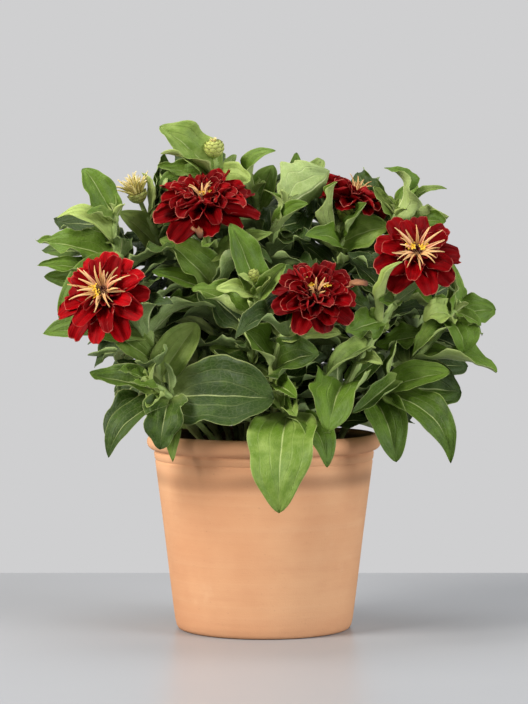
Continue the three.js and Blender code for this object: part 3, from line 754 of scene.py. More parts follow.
STEMS: tuple[StemPlan, ...] = (
    StemPlan(
        "left_bloom", foot=(-52, -26), route=((-88, 205, -58), (-95, 238, -56), (-106, 264, -50)),
        bloom="left", pairs=(228, 250, 60), youth_and_shade=0.08,
        leaves=((215, (-57, 259, -52), 36, 62, FLAT), (229, (-130, 250, -58), 28, 60, FLAT),
                (252, (-189, 250, -46), 32, 55, WAVY)),
        small=((178, (-70, 141, -96), 17, 10, DROOPING),)),
    StemPlan(
        "left_front_shoot", foot=(-40, -50), route=((-72, 188, -78), (-97, 208, -88)), youth_and_shade=-0.12,
        accents=((0, -0.12, 0.45), (1, -0.1, 0.35), (42, 0.35, 0.0), (41, 0.2, 0.0)),
        leaves=((203, (9, 194, -106), 66, 62, FLAT), (202, (-89, 151, -112), 36, 10, DROOPING),
                (207, (-148, 213, -80), 27, 45, FLAT), (200, (-128, 140, -104), 30, 25, DROOPING)),
        small=((206, (-125, 219, -98), 14, 40, WAVY), (206, (-127, 202, -104), 11, 30, WAVY),
               (207, (-100, 188, -110), 15, 0, CUPPED), (207, (-84, 226, -96), 14, 40, FLAT))),
    StemPlan(
        "left_shoot", foot=(-38, 14),
        route=((-84, 232, 4), (-116, 296, -8), (-128, 333, -14), (-127, 351, -15)), pairs=(200, 290, 40),
        youth_and_shade=0.02,
        accents=((2, -0.25, -0.2), (3, -0.2, 0.0), (1, 0.1, 0.0)),
        leaves=((349, (-154, 393, -18), 29, 70, FLAT), (329, (-177, 349, -22), 22, 50, HOOKED),
                (314, (-194, 328, -14), 31, 55, WAVY), (297, (-194, 309, -24), 21, 60, WAVY),
                (320, (-174, 260, -32), 27, 45, DROOPING)),
        small=((350, (-131, 374, 0), 17, 50, FLAT), (337, (-157, 354, -34), 14, 45, WAVY))),
    StemPlan(
        "left_bud", foot=(-30, 28),
        route=((-58, 240, 32), (-84, 312, 28), (-98, 345, 20), (-106, 364, 15)), bud=BudKind.OPENING,
        pairs=(210, 300, 20), youth_and_shade=0.03,
        leaves=((322, (-124, 354, 4), 33, 68, FLAT), (322, (-70, 340, 40), 30, 30, FLAT)),
        small=((349, (-101, 389, 12), 16, 50, FLAT),)),
    StemPlan(
        "upper_left_bloom", foot=(-18, 4), route=((-32, 240, -2), (-43, 300, 2), (-48, 326, 4)),
        bloom="upper_left", pairs=(190, 260, 80), youth_and_shade=-0.05,
        leaves=((290, (-88, 333, -10), 38, 65, FLAT), (284, (-96, 303, -24), 25, 50, FLAT),
                (280, (-88, 275, -40), 25, 50, WAVY), (316, (8, 335, -22), 24, 50, FLAT)),
        small=((316, (-52, 326, -34), 16, 40, WAVY),)),
    StemPlan(
        "top_bud", foot=(-8, 46), route=((-22, 255, 50), (-34, 345, 44), (-40, 384, 34), (-42, 403, 28)),
        bud=BudKind.CLOSED, pairs=(220, 350, 10), youth_and_shade=0.08,
        accents=((0, -0.28, 0.3), (2, 0.05, 0.3), (40, 0.1, 0.0)),
        leaves=((385, (-89, 427, 18), 42, 72, WAVY), (382, (-90, 380, 22), 19, 55, WAVY),
                (384, (-11, 379, 12), 29, 55, FLAT)),
        small=((383, (-88, 402, 8), 22, 60, TWISTED), (386, (-28, 408, 40), 9, 60, FLAT))),
    StemPlan(
        "back_shoot", foot=(10, 56), route=((4, 270, 62), (-4, 345, 50), (-8, 371, 44)),
        pairs=(200, 340, 55), youth_and_shade=-0.12,
        leaves=((370, (10, 406, 24), 26, 60, HOOKED), (360, (8, 394, 48), 28, 65, FLAT)),
        small=((370, (-30, 392, 62), 24, 40, FLAT),)),
    StemPlan(
        "upper_shoot", foot=(20, 20), route=((8, 262, 16), (9, 337, 4), (17, 362, 0)),
        pairs=(210, 300, 100), youth_and_shade=0.1,
        accents=((0, -0.45, -0.1), (1, -0.05, 0.0)),
        leaves=((361, (57, 389, 14), 52, -68, CUPPED), (361, (27, 408, 22), 18, 60, FLAT),
                (337, (38, 361, -20), 20, 50, FOLDED)),
        small=((360, (68, 398, 42), 18, 60, FLAT), (340, (-1, 372, -6), 13, 50, HOOKED))),
    StemPlan(
        "upper_right_bloom", foot=(40, 26), route=((50, 250, 26), (66, 325, 20)), bloom="upper_right",
        pairs=(200, 300, 30),
        leaves=((332, (67, 379, -14), 20, 55, FOLDED), (334, (95, 363, 2), 20, 50, FLAT),
                (332, (20, 335, -8), 25, 50, DROOPING), (330, (104, 346, 4), 38, 60, WAVY),
                (330, (110, 352, 40), 30, 20, FLAT)),
        small=((326, (67, 316, -38), 16, 20, CUPPED), (320, (46, 334, -22), 10, 40, FLAT))),
    StemPlan(
        "right_back_shoot", foot=(56, 40), route=((92, 250, 40), (110, 320, 24), (113, 352, 10)),
        pairs=(200, 320, 75), youth_and_shade=0.05,
        accents=((2, 0.2, 0.2), (0, -0.1, 0.0)),
        leaves=((351, (103, 393, -4), 33, 70, HOOKED), (349, (92, 374, 6), 18, 60, FLAT),
                (351, (150, 360, -6), 36, -40, CUPPED), (345, (134, 378, 28), 24, 50, FLAT)),
        small=((346, (155, 345, -4), 22, 50, WAVY), (352, (156, 372, 4), 8, 60, HOOKED))),
    StemPlan(
        "right_bloom", foot=(44, -22), route=((72, 208, -50), (88, 237, -44), (108, 270, -30)),
        bloom="right", pairs=(180, 250, 50),
        accents=((2, 0.35, 0.0), (3, 0.2, 0.0), (40, 0.3, 0.0), (41, 0.4, -0.3)),
        leaves=((209, (55, 167, -122), 52, 10, DROOPING), (210, (103, 231, -48), 23, 50, FLAT),
                (244, (49, 206, -76), 26, 50, TWISTED), (264, (70, 250, -62), 26, 55, WAVY)),
        small=((238, (99, 243, -80), 16, 40, WAVY), (262, (115, 313, -84), 14, 70, FOLDED),
               (268, (88, 277, -60), 16, 50, WAVY))),
    StemPlan(
        "right_shoot", foot=(64, -8),
        route=((82, 186, -28), (109, 207, -42), (140, 240, -36), (164, 269, -30)), pairs=(180, 245, 100),
        youth_and_shade=0.04,
        accents=((0, 0.25, 0.1), (1, -0.05, 0.6), (2, 0.2, -0.5), (5, 0.2, 0.0), (8, 0.3, 0.0),
                 (42, 0.2, 0.0)),
        leaves=((207, (159, 217, -62), 31, 55, FLAT), (207, (169, 200, -34), 50, 60, FLAT),
                (206, (167, 147, -70), 36, 35, HOOKED), (204, (122, 142, -82), 37, 20, DROOPING),
                (268, (164, 301, -22), 22, 75, FLAT), (268, (134, 262, -48), 28, 55, HOOKED),
                (268, (198, 270, -22), 30, 55, WAVY), (265, (171, 234, -44), 34, 15, DROOPING),
                (262, (127, 231, -56), 22, 50, TWISTED), (260, (160, 312, -8), 25, 60, FLAT),
                (252, (97, 238, -24), 24, 50, WAVY)),
        small=((207, (76, 180, -78), 17, 60, FOLDED), (208, (116, 243, -56), 16, 60, FLAT),
               (267, (186, 258, -44), 13, 45, FLAT))),
    StemPlan(
        "front_bloom", foot=(10, -42), route=((9, 226, -70), (22, 254, -72)), bloom="front",
        pairs=(205, 215, 150), youth_and_shade=-0.08,
        accents=((3, 0.45, 0.0), (40, 0.3, 0.2), (41, 0.3, 0.2)),
        leaves=((227, (-25, 260, -92), 36, 58, FLAT), (224, (47, 232, -104), 42, 55, WAVY),
                (196, (28, 178, -98), 18, 40, WAVY), (250, (66, 250, -92), 22, 50, WAVY),
                (180, (-52, 171, -98), 18, 45, WAVY)),
        small=((222, (32, 200, -118), 17, 30, FOLDED), (208, (14, 188, -102), 16, 20, CUPPED))),
    StemPlan(
        "small_bud", foot=(-14, -28),
        route=((-14, 200, -46), (-8, 262, -60), (-5, 285, -64), (-9, 296, -65)), bud=BudKind.SMALL,
        pairs=(190, 240, 70), youth_and_shade=0.1,
        accents=((0, -0.28, -0.1), (2, 0.15, 0.2), (41, 0.3, 0.0), (42, 0.2, 0.0), (43, 0.3, 0.0)),
        leaves=((285, (-29, 344, -66), 30, 75, WAVY), (285, (-2, 322, -52), 30, 70, WAVY),
                (284, (-41, 288, -84), 20, 50, WAVY), (264, (-62, 290, -60), 29, 55, WAVY),
                (222, (-47, 238, -56), 19, 50, FLAT)),
        small=((272, (17, 322, -60), 19, 60, FOLDED), (288, (-22, 301, -84), 11, 50, FLAT),
               (286, (-12, 277, -90), 14, 30, CUPPED), (286, (7, 297, -84), 12, 50, FLAT),
               (258, (-6, 268, -84), 14, 50, FLAT))),
    StemPlan(
        "rim_shoot", foot=(22, -68), route=((21, 180, -76), (20, 194, -80)), youth_and_shade=0.1,
        accents=((0, 0.43, 0.1),),
        leaves=((190, (13, 96, -142), 58, 0, DROOPING), (186, (54, 135, -122), 32, 0, DROOPING),
                (192, (48, 170, -116), 26, 20, WAVY)),
        small=((193, (27, 180, -112), 17, 20, WAVY),)),
    StemPlan(
        "back_left_shoot", foot=(-56, 36), route=((-94, 225, 58), (-124, 285, 70), (-132, 312, 72)),
        pairs=(185, 300, 15), youth_and_shade=-0.15),
    StemPlan(
        "back_middle_shoot", foot=(-24, 66), route=((-38, 240, 84), (-50, 310, 90), (-52, 338, 88)),
        pairs=(185, 325, 45), youth_and_shade=-0.15,
        small=((180, (-64, 164, 56), 30, 60, FLAT), (178, (14, 164, 60), 30, 60, FLAT))),
    StemPlan(
        "back_inner_shoot", foot=(34, 66), route=((46, 240, 70), (60, 310, 72), (64, 336, 68)),
        pairs=(185, 322, 5), youth_and_shade=-0.15),
    StemPlan(
        "back_right_shoot", foot=(66, 26), route=((110, 230, 52), (140, 285, 62), (148, 306, 62)),
        pairs=(185, 295, 70), youth_and_shade=-0.15),
)

# The opposite pairs as the solids have them: how far apart they stand, and which would hide the front.
PAIR_STEP = 62.0
PAIR_BENDS = (FLAT, WAVY, DROOPING)
REAR_DEPTH = 34.0
NEAR_SIDE = -0.3

# The stems, and where a stem ends under a bloom's face.
CALYX_FOOT = -20.0
BLOOM_NECK = (CALYX_FOOT - 9, CALYX_FOOT + 2)
STEM_RADIUS = 3.0
HAIRS_PER_STEP = 8
FIRST_SMALL = 40

# How much a stalk swells at a leaf, over what height, and under a bloom, and how thick it may get.
KNOT = 0.75
KNOT_REACH = 3.5
NECK_SWELLING = 1.6
THICKEST_STALK = 4.4

# Rows and columns of leaves, petals and the coarse sheets that are tried, and which leaves get which.
LARGE_GRID = (28, 17)
MIDDLING_GRID = (20, 11)
TINY_GRID = (16, 9)
PETAL_GRID = (20, 13)
PROBE_GRID = (10, 7)
LARGE_LENGTH = 62.0
TINY_WIDTH = 18.0

# Leaves wider than this lie calm. The filling's leaves are darker than the others: painted shade for leaves
# deep in the plant.
CALM_WIDTH = 53.0
FILLING_PAINTED_SHADE = -0.5
CLOSING_PAINTED_SHADE = -0.42

# Half the thickness of the solids' leaves, and how near their corners must be to a leaf that is read.
HALF_BLADE = 0.45
MATCH = 0.12

# How near the solids' corners a leaf's tip must be for the leaf to be looked at.
NEAR_TIP = 1.2

# A new leaf may touch others up to this share of its length from its root.
FREE_ROOT = 0.14

# Where the foliage starts, from which heights are counted for leaves that change with height.
FOLIAGE_FOOT = 170.0

# The filling: the least top of a stem that takes it, where it starts above the soil and ends below the
# top, and how often a leaf is tried.
FILLED_TOP = 215.0
FILLING_START = 19.0
FILLING_END = 12.0
ATTEMPTS = 12

# The seen space round a bloom's face, and the depth behind it, that the filling keeps clear.
BLOOM_SPACE = 44.0
BLOOM_DEPTH = 16.0

# The plant's outline as the viewer sees it: (across, greatest height), then (across, least height).
CROWN = ((-196, 322), (-186, 344), (-162, 362), (-154, 392), (-140, 364), (-120, 350), (-97, 356), (-90, 424),
         (-60, 416), (-10, 412), (10, 408), (40, 404), (75, 398), (108, 396), (136, 376), (158, 352),
         (168, 312), (196, 288), (200, 262))
SKIRT = ((-196, 266), (-172, 254), (-158, 242), (-140, 228), (-127, 206), (-118, 168), (100, 168), (128, 165),
         (158, 176), (168, 200), (176, 236), (198, 258))


def edges_at(across: float | Array) -> tuple[Array, Array]:
    """Returns the skirt's and the crown's heights at places across."""
    return np.interp(across, *zip(*SKIRT)), np.interp(across, *zip(*CROWN))


def swings() -> Iterator[tuple[float, float, float, float]]:
    """Lists the small changes that are tried on a leaf, in order.

    Yields:
        (slide, yaw, pitch, share).
    """
    for share in (1, 0.84):
        for angle in (0, 7, 15, 24):
            for slide in (0, 5, -5, 10, -10):
                for i in range(8 if angle else 1):
                    around = i * math.pi / 4
                    yield slide, angle * math.cos(around), angle * math.sin(around), share


def swung(blade: Blade, yaw: float, pitch: float, share: float) -> Blade:
    """Turns a blade about its root, and shortens it.

    Args:
        blade: The blade.
        yaw: Its turn in its own plane, in degrees.
        pitch: Its turn up or down, in degrees.
        share: The share of its length that it keeps.

    Returns:
        The changed blade.
    """
    chord = blade.tip - blade.root
    across = unit(np.cross(chord, blade.face))
    chord, face = (turned(turned(v, blade.face, yaw), across, pitch) for v in (chord, blade.face))
    return replace(blade, tip=blade.root + chord * share, face=face, width=blade.width * (share + 1) / 2)


def face_of(root: Array, tip: Array, roll: float) -> Array:
    """Turns a leaf's upper face up, then towards the viewer.

    Args:
        root: Its root.
        tip: Its tip.
        roll: Its roll towards the viewer, in degrees.

    Returns:
        The way the face looks.
    """
    along = unit(tip - root)
    up = square_to(UP, along)
    side = np.cross(along, up)
    if side @ TO_VIEWER < 0:
        side = -side
    return up * math.cos(math.radians(roll)) + side * math.sin(math.radians(roll))


@dataclass
class Thicket:
    """What stands in the plant, which keeps each new leaf clear of the rest."""

    trees: list[BVHTree] = field(default_factory=list)
    lows: Array = field(default_factory=lambda: np.zeros((0, 3)))
    highs: Array = field(default_factory=lambda: np.zeros((0, 3)))
    views: Array = field(default_factory=lambda: np.zeros((0, 4)))

    def add_mesh(self, points: Array, faces: list[list[int]]) -> None:
        """Adds a mesh to what stands.

        Args:
            points: Its points, in millimetres.
            faces: Its faces by index.
        """
        self.trees.append(BVHTree.FromPolygons(points.tolist(), faces))
        self.lows = np.vstack([self.lows, points.min(0)])
        self.highs = np.vstack([self.highs, points.max(0)])
        across, height = looks_at(points.T)
        self.views = np.vstack([self.views, [across.min(), height.min(), across.max(), height.max()]])

    def hides(self, across: float, height: float) -> bool:
        """Looks along the viewer's line to a seen place.

        Args:
            across: The place across.
            height: Its height.

        Returns:
            Whether something stands in the line.
        """
        eye = np.array([0, -VIEW_DISTANCE, EYE_HEIGHT])
        ray = unit(seen((across, height, 0)) - eye)
        place = np.array([across, height])
        met = (self.views[:, :2] <= place).all(1) & (place <= self.views[:, 2:]).all(1)
        return any(self.trees[i].ray_cast(eye.tolist(), ray.tolist())[0] for i in np.nonzero(met)[0])

    def add_node(self, node: bpy.types.Object) -> None:
        """Adds a CAD node to what stands."""
        points = np.array([v.co for v in node.data.vertices]) / MM
        self.add_mesh(points, [list(p.vertices) for p in node.data.polygons])

    def add_blade(self, blade: Blade, start: float = 0.0) -> None:
        """Adds a leaf to what stands, from a share of its length on."""
        self.add_mesh(*self.probe(blade, start))

    @staticmethod
    def probe(blade: Blade, start: float) -> Mesh:
        """Lays out a coarse sheet of a blade.

        Args:
            blade: The blade.
            start: The share of its length from which the sheet runs.

        Returns:
            The sheet's points and faces.
        """
        rows, columns = PROBE_GRID
        points, _ = blade.sheet(np.linspace(start, 0.985, rows), np.linspace(-1, 1, columns), fine=True)
        return points.reshape(-1, 3), grid_faces(rows, columns).tolist()

    def is_clear(self, blade: Blade) -> bool:
        """Looks whether a blade crosses anything beyond its root.

        Args:
            blade: The blade.

        Returns:
            Whether it crosses nothing.
        """
        points, faces = self.probe(blade, FREE_ROOT)
        low, high = points.min(0), points.max(0)
        near = np.nonzero((self.lows <= high).all(1) & (low <= self.highs).all(1))[0]
        if not len(near):
            return True
        tree = BVHTree.FromPolygons(points.tolist(), faces)
        return not any(self.trees[i].overlap(tree) for i in near)

    def settle(self, blade_at: Callable[[float], Blade]) -> Blade:
        """Sets a new leaf at the first swing that keeps it clear, or as planned where none does.

        Args:
            blade_at: Gives the leaf for a slide of its root along its stem.

        Returns:
            The leaf.
        """
        chosen = blade_at(0)
        for slide, yaw, pitch, share in swings():
            blade = swung(blade_at(slide), yaw, pitch, share)
            if self.is_clear(blade):
                chosen = blade
                break
        self.add_blade(chosen)
        return chosen


@dataclass
class LeafyStem:
    """One stem with all its leaves, its tip and the green cup under its bloom or bud."""

    plan: StemPlan
    index: int
    thicket: Thicket
    blades: list[Blade] = field(default_factory=list)
    joints: list[float] = field(default_factory=list)

    def __post_init__(self) -> None:
        """Works out the stem's curve."""
        x, y = self.plan.foot
        points = [np.array([x, y, SOIL_TOP - FOOT_DEPTH]), np.array([x, y, SOIL_TOP + 4])]
        points += [seen(place) for place in self.plan.route]
        if self.plan.bloom:
            bloom = BLOOMS[self.plan.bloom]
            axis = unit(np.array(bloom.axis))
            points += [seen(bloom.face) + axis * height for height in BLOOM_NECK]
        self.curve = StemCurve(points)
        self.node = f"{self.plan.name}_leaves"
        self.top = float(self.curve.at(1)[2])

    def tone_with_painted_light_at(self, point: Array, seed: float) -> float:
        """Works out a leaf's tone with painted light: lighter high up, in front and to the left, towards the
        lamps, with a random share of its own.

        Args:
            point: Where its tip is.
            seed: What its draw starts from.

        Returns:
            The tone, from 0 to 1.
        """
        high = (point[2] - FOLIAGE_FOOT) / 240
        # Painted light and shade: the tone rises towards the top, the front and the left, where the lamps
        # light the plant most.
        tone = 0.2 + 0.4 * high - 0.0005 * point[0] - 0.0012 * point[1] + between(-0.22, 0.22, seed)
        return float(np.clip(tone, 0.02, 1))

    def planned_leaf(self, plan: Leaf, i: int) -> Callable[[float], Blade]:
        """Prepares a leaf that the front shows.

        Args:
            plan: The leaf's plan.
            i: Its number on the stem.

        Returns:
            What makes the leaf for a slide of its root.
        """
        height, place, width, roll, bend = plan
        tip = seen(place)
        phase = PHASES * chance(17 * self.index + i)

        def make(slide: float) -> Blade:
            """Makes the leaf."""
            root = self.curve.at_height(height + slide)
            return Blade(root, tip, face_of(root, tip, roll), width, Outline.LEAF, bend.value, phase)

        return make

    def pair_leaf(self, height: float, angle: float, seed: float) -> Callable[[float], Blade]:
        """Prepares a leaf of an opposite pair.

        Args:
            height: The height of its root.
            angle: Its azimuth in radians.
            seed: What its draws start from.

        Returns:
            What makes the leaf for a slide of its root.
        """
        high = (height - FOLIAGE_FOOT) / 170
        length = 74 - 14 * high + 14 * chance(seed + 3)
        lean = math.radians(-18 + 44 * high + 16 * (chance(seed + 5) - 0.5))
        bend = PAIR_BENDS[int(3 * chance(seed + 7))].value
        width = 36 + 10 * chance(seed + 4)
        chord = length * heading(angle, lean)
        phase = PHASES * chance(seed + 6)
        roll = 30 * (chance(seed + 8) - 0.5)

        def make(slide: float) -> Blade:
            """Makes the leaf.

            Args:
                slide: How far its root slides up its stem.

            Returns:
                The leaf.
            """
            root = self.curve.at_height(height + slide)
            face = face_of(root, root + chord, roll)
            return Blade(root, root + chord, face, width, Outline.LEAF, bend, phase, plain=True)

        return make

    def fitted(self, blade_at: Callable[[float], Blade], tree: KDTree) -> Blade | None:
        """Finds which swing of a leaf the solids have, by the place of its tip.

        Args:
            blade_at: Gives the leaf for a slide of its root.
            tree: The corners of the stem's CAD node.

        Returns:
            The leaf where the solids have it, or nothing.
        """
        made = {slide: blade_at(slide) for slide in (0, 5, -5, 10, -10)}
        for slide, yaw, pitch, share in swings():
            blade = swung(made[slide], yaw, pitch, share)
            if tree.find(blade.tip)[2] > NEAR_TIP:
                continue
            points, normals = blade.sheet(np.array([1.0]), np.array([-1.0, 1.0] if blade.plain else [0.0]))
            corners = [p + n * s for p, n in zip(points[0], normals[0]) for s in (HALF_BLADE, -HALF_BLADE)]
            if all(tree.find(corner)[2] < MATCH for corner in corners):
                return blade
        return None

    def read_solids(self) -> int:
        """Places the leaves that the solids have.

        Returns:
            How many there are.
        """
        corners = [v.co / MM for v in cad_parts[self.node].data.vertices]
        tree = KDTree(len(corners))
        for i, corner in enumerate(corners):
            tree.insert(corner, i)
        tree.balance()
        makers = [(leaf[0], self.planned_leaf(leaf, i)) for i, leaf in enumerate(self.plan.leaves)]
        makers += [(place[0], self.pair_leaf(*place)) for place in self.pair_places()]
        for i, (height, maker) in enumerate(makers):
            blade = self.fitted(maker, tree)
            if blade is not None:
                seed = 31 * self.index + 7.3 * len(self.blades)
                blade = self.dressed(blade, seed, self.plan.youth_and_shade)
                self.keep(self.accented(blade, i if i < len(self.plan.leaves) else -1), height)
        return len(self.blades)

    def accented(self, blade: Blade, i: int) -> Blade:
        """Gives a planned leaf the tone and the bluntness that are its own, if it has them.

        Args:
            blade: The leaf.
            i: Its number on the stem.

        Returns:
            The same leaf.
        """
        for leaf, tone, bluntness in self.plan.accents:
            if leaf == i:
                blade.tone += tone
                blade.bluntness = bluntness
        return blade

    def pair_places(self) -> Iterator[tuple[float, float, float]]:
        """Lists the leaves of the stem's opposite pairs.

        Yields:
            (height, azimuth in radians, seed).
        """
        if not self.plan.pairs:
            return
        lowest, highest, azimuth = self.plan.pairs
        count = int((highest - lowest) // PAIR_STEP) + 1
        for k in range(count):
            for side in (0, 1):
                seed = 1000 + 100 * self.index + 10 * k + side
                angle = math.radians(azimuth + 90 * k + 180 * side + 24 * (chance(seed) - 0.5))
                if self.plan.foot[1] >= REAR_DEPTH or math.sin(angle) >= NEAR_SIDE:
                    yield lowest + PAIR_STEP * k, angle, seed

    def dressed(self, blade: Blade, seed: float, youth_and_shade: float) -> Blade:
        """Gives a leaf its tone and grain, and the frills, rolls and curl that the solids leave out.

        Args:
            blade: The leaf.
            seed: What its draws start from.
            youth_and_shade: How much lighter it is than its place makes it; the filling passes a negative
                share here, as painted shade deep in the plant.

        Returns:
            The same leaf, changed.
        """
        blade.seed = chance(seed)
        # The tone takes painted light from the leaf's place; youth_and_shade lightens young stems and gives
        # the filling its painted shade.
        blade.tone = self.tone_with_painted_light_at(blade.tip, seed + 1) + youth_and_shade
        blade.groove = 0.55
        blade.thickness = 0.55
        blade.bluntness = 0.5 if blade.width > CALM_WIDTH else between(-0.4, 0.5, seed + 9)
        return self.ruffled(blade, seed)

    @staticmethod
    def ruffled(blade: Blade, seed: float) -> Blade:
        """Draws a leaf's frills, rolls, curl and keel anew.

        Args:
            blade: The leaf.
            seed: What its draws start from.

        Returns:
            The same leaf, changed.
        """
        is_calm = blade.width > CALM_WIDTH
        blade.frill = 0.09
        least, most = -0.5, 0.6
        if not is_calm:
            blade.frill = 0.9 * blade.bend.wave + between(0.05, 0.18, seed + 2)
            blade.curl = between(-0.11, 0.11, seed + 3)
            blade.keel = between(-0.04, 0.34, seed + 11)
            least, most = -0.8, (0.7 if blade.plain else 1.2) + 7 * blade.bend.wave
        side = 1 if chance(seed + 4) > 0.5 else -1
        blade.rolls = ((between(0.2, 0.55, seed + 5), side, between(least, most, seed + 6)),
                       (between(0.45, 0.9, seed + 7), -side, between(least, most, seed + 8)))
        return blade

    def ease_leaves(self) -> None:
        """Redraws the folds of each leaf that touches something, and flattens those that still do."""
        for i, blade in enumerate(self.blades):
            others = (self.ruffled(replace(blade), 60 * blade.seed + 9.1 * k) for k in range(1, 9))
            chosen = next((one for one in (blade, *others) if self.thicket.is_clear(one)), blade)
            for share in (0.6, 0.5, 0.0):
                if self.thicket.is_clear(chosen):
                    break
                chosen.rolls = tuple((place, edge, turn * share) for place, edge, turn in chosen.rolls)
                chosen.curl *= share
                chosen.frill *= share + 0.3
            self.blades[i] = chosen
            self.thicket.add_blade(chosen, 0.05)

    def keep(self, blade: Blade, height: float) -> None:
        """Keeps a leaf, with the height of its root for the stem's swellings."""
        self.blades.append(blade)
        self.joints.append(height)

    def plant(self, blade: Blade, height: float) -> None:
        """Keeps a leaf of the filling, which stands in the plant from then on."""
        self.thicket.add_blade(blade)
        self.keep(blade, height)

    def add_small_leaves(self) -> None:
        """Adds the small leaves that the front shows."""
        for i, plan in enumerate(self.plan.small):
            number = FIRST_SMALL + i
            make = self.planned_leaf(plan, number)
            seed = 53 * self.index + 3.7 * i
            blade = self.thicket.settle(
                lambda slide: self.accented(self.dressed(make(slide), seed, self.plan.youth_and_shade), number))
            self.keep(blade, plan[0])

    def add_filling(self, step: float, longest: float) -> None:
        """Adds leaves between the planned ones, where the plant has room and hides no bloom.

        Args:
            step: How far apart their roots stand.
            longest: The length of the longest.
        """
        if self.top < FILLED_TOP:
            return
        height = SOIL_TOP + FILLING_START
        k = 0
        while height < self.top - FILLING_END:
            for side in (0, 1, 2):
                seed = 5000 + 211 * self.index + 17 * k + side + step
                angle = SPIRAL * k + math.pi * side + between(-0.5, 0.5, seed)
                if side == 2:
                    angle += math.pi / 2
                blade = self.filling_leaf(height, angle, seed, longest)
                if blade is not None:
                    self.plant(blade, height)
            height += step
            k += 1

    def filling_leaf(self, height: float, angle: float, seed: float, longest: float) -> Blade | None:
        """Finds a leaf of the filling that fits.

        Args:
            height: The height of its root.
            angle: Its azimuth in radians, which may change a little.
            seed: What its draws start from.
            longest: The length of the longest.

        Returns:
            The leaf, or nothing where none fits.
        """
        high = (height - FOLIAGE_FOOT) / 190
        for attempt in range(ATTEMPTS):
            mark = seed + 0.37 * attempt
            turn = angle + (attempt % 3 - 1) * 0.6 + between(-0.2, 0.2, mark)
            lean = math.radians(between(-24, 24, mark + 1) + 26 * high + 9 * (attempt // 3))
            length = longest * between(0.72, 1, mark + 2) * (1 - 0.2 * high) * (1 - 0.13 * (attempt // 3))
            root = self.curve.at_height(height)
            tip = root + heading(turn, lean) * length
            if not is_inside_plant(tip):
                continue
            bend = (FLAT, WAVY, DROOPING, HOOKED)[int(4 * chance(mark + 3))].value
            face = face_of(root, tip, between(-25, 40, mark + 4))
            blade = Blade(root, tip, face, length * between(0.42, 0.56, mark + 5), Outline.LEAF, bend,
                          PHASES * chance(mark + 6), plain=True)
            # Painted shade: the filling's leaves, deep in the plant, get a darker tone.
            blade = self.dressed(blade, mark + 10, FILLING_PAINTED_SHADE)
            if keeps_inside(blade) and self.thicket.is_clear(blade):
                return blade
        return None

    def add_tip(self, draft: Draft) -> None:
        """Closes a bare shoot with six small leaves round its growing tip.

        Args:
            draft: Where they go.
        """
        end = self.curve.at(1)
        axis = unit(end - self.curve.at(0.985))
        for i in range(6):
            lean = math.radians(28 + 9 * i)
            length = 19 - 2.2 * i
            out = outwards(axis, i * SPIRAL + self.index)
            tip = end + length * (out * math.cos(lean) + axis * math.sin(lean))
            blade = Blade(end - axis * 2, tip, axis, length * 0.45, Outline.LEAF, FOLDED.value, i,
                          tone=0.85, seed=chance(i + self.index), groove=0.3, thickness=0.5)
            draft.add_blade(blade, 10, 7)

    def add_hairs(self, draft: Draft, path: Array, radii: Array) -> None:
        """Sets short stiff hairs on the stalk, each a slim three-sided spike.

        Args:
            draft: Where they go.
            path: The stalk's middle.
            radii: Its radius at each point of the path.
        """
        draws = np.random.default_rng(self.index + 1)
        count = len(path) * HAIRS_PER_STEP
        i = draws.integers(2, len(path) - 1, count)
        share = draws.random((count, 1))
        middle = path[i] * (1 - share) + path[i + 1] * share
        tangent = unit(path[i] - path[i - 1])
        first = square_to(ASKEW, tangent)
        second = np.cross(tangent, first)
        angle = draws.uniform(0, TAU, (count, 1))
        out = first * np.cos(angle) + second * np.sin(angle)
        foot = middle + out * (radii[i][:, None] - 0.25)
        slant = tangent * draws.uniform(-0.3, 0.6, (count, 1))
        tip = foot + (out + slant) * draws.uniform(0.9, 1.9, (count, 1))
        side = np.cross(tangent, out)
        base = [foot + 0.13 * (side * math.cos(turn) + tangent * math.sin(turn))
                for turn in (0, TAU / 3, 2 * TAU / 3)]
        points = np.stack([*base, tip], 1).reshape(-1, 3)
        spike = np.array([[0, 1, 3, 3], [1, 2, 3, 3], [2, 0, 3, 3], [2, 1, 0, 0]])
        faces = (spike[None] + 4 * np.arange(count)[:, None, None]).reshape(-1, 4)
        marks = np.tile([0.5, 0.5, 1.0], (4 * count, 1))
        draft.add(points, faces, marks, np.tile([0.5, 1.0, 0.2], (4 * count, 1)))

    def build(self, leaf: Material, bark: Material) -> None:
        """Makes the stem's two pieces: its foliage and its stalk.

        Args:
            leaf: The leaves' material.
            bark: The stalk's.
        """
        foliage = Draft()
        for blade in self.blades:
            is_large = blade.length > LARGE_LENGTH or not blade.plain
            grid = TINY_GRID if blade.width < TINY_WIDTH else LARGE_GRID if is_large else MIDDLING_GRID
            foliage.add_blade(blade, *grid)
        if not self.plan.bloom and not self.plan.bud:
            self.add_tip(foliage)
        foliage.piece(f"{self.plan.name}_foliage", leaf, "leaf", [self.node])
        stalk = Draft()
        path = self.curve.samples(4.0)
        share = np.linspace(0, 1, len(path))
        radii = STEM_RADIUS * (0.96 - 0.3 * share)
        for height in self.joints:
            radii = radii + KNOT * np.exp(-(((path[:, 2] - height) / KNOT_REACH) ** 2))
        if self.plan.bloom:
            radii = radii + NECK_SWELLING * np.exp(-(((share - 1) / 0.03) ** 2))
        radii = np.minimum(radii, THICKEST_STALK)
        stalk.add_tube(path, radii, 12, 0.45, self.index)
        self.add_hairs(stalk, path, radii)
        stalk.piece(f"{self.plan.name}_stalk", bark, "leaf", [self.node])

    def stalk_probe(self) -> Mesh:
        """Makes a coarse stalk, for what stands in the plant.

        Returns:
            Its points and faces.
        """
        path = self.curve.samples(14.0)
        quarters = np.array([[math.cos(a), math.sin(a), 0] for a in (0.0, 1.571, 3.142, 4.712)])
        points = (path[:, None] + quarters[None] * (STEM_RADIUS - 0.4)).reshape(-1, 3)
        return points, tube_faces(len(path), 4).tolist()


Start = tuple[LeafyStem, float, tuple[float, float], Array]


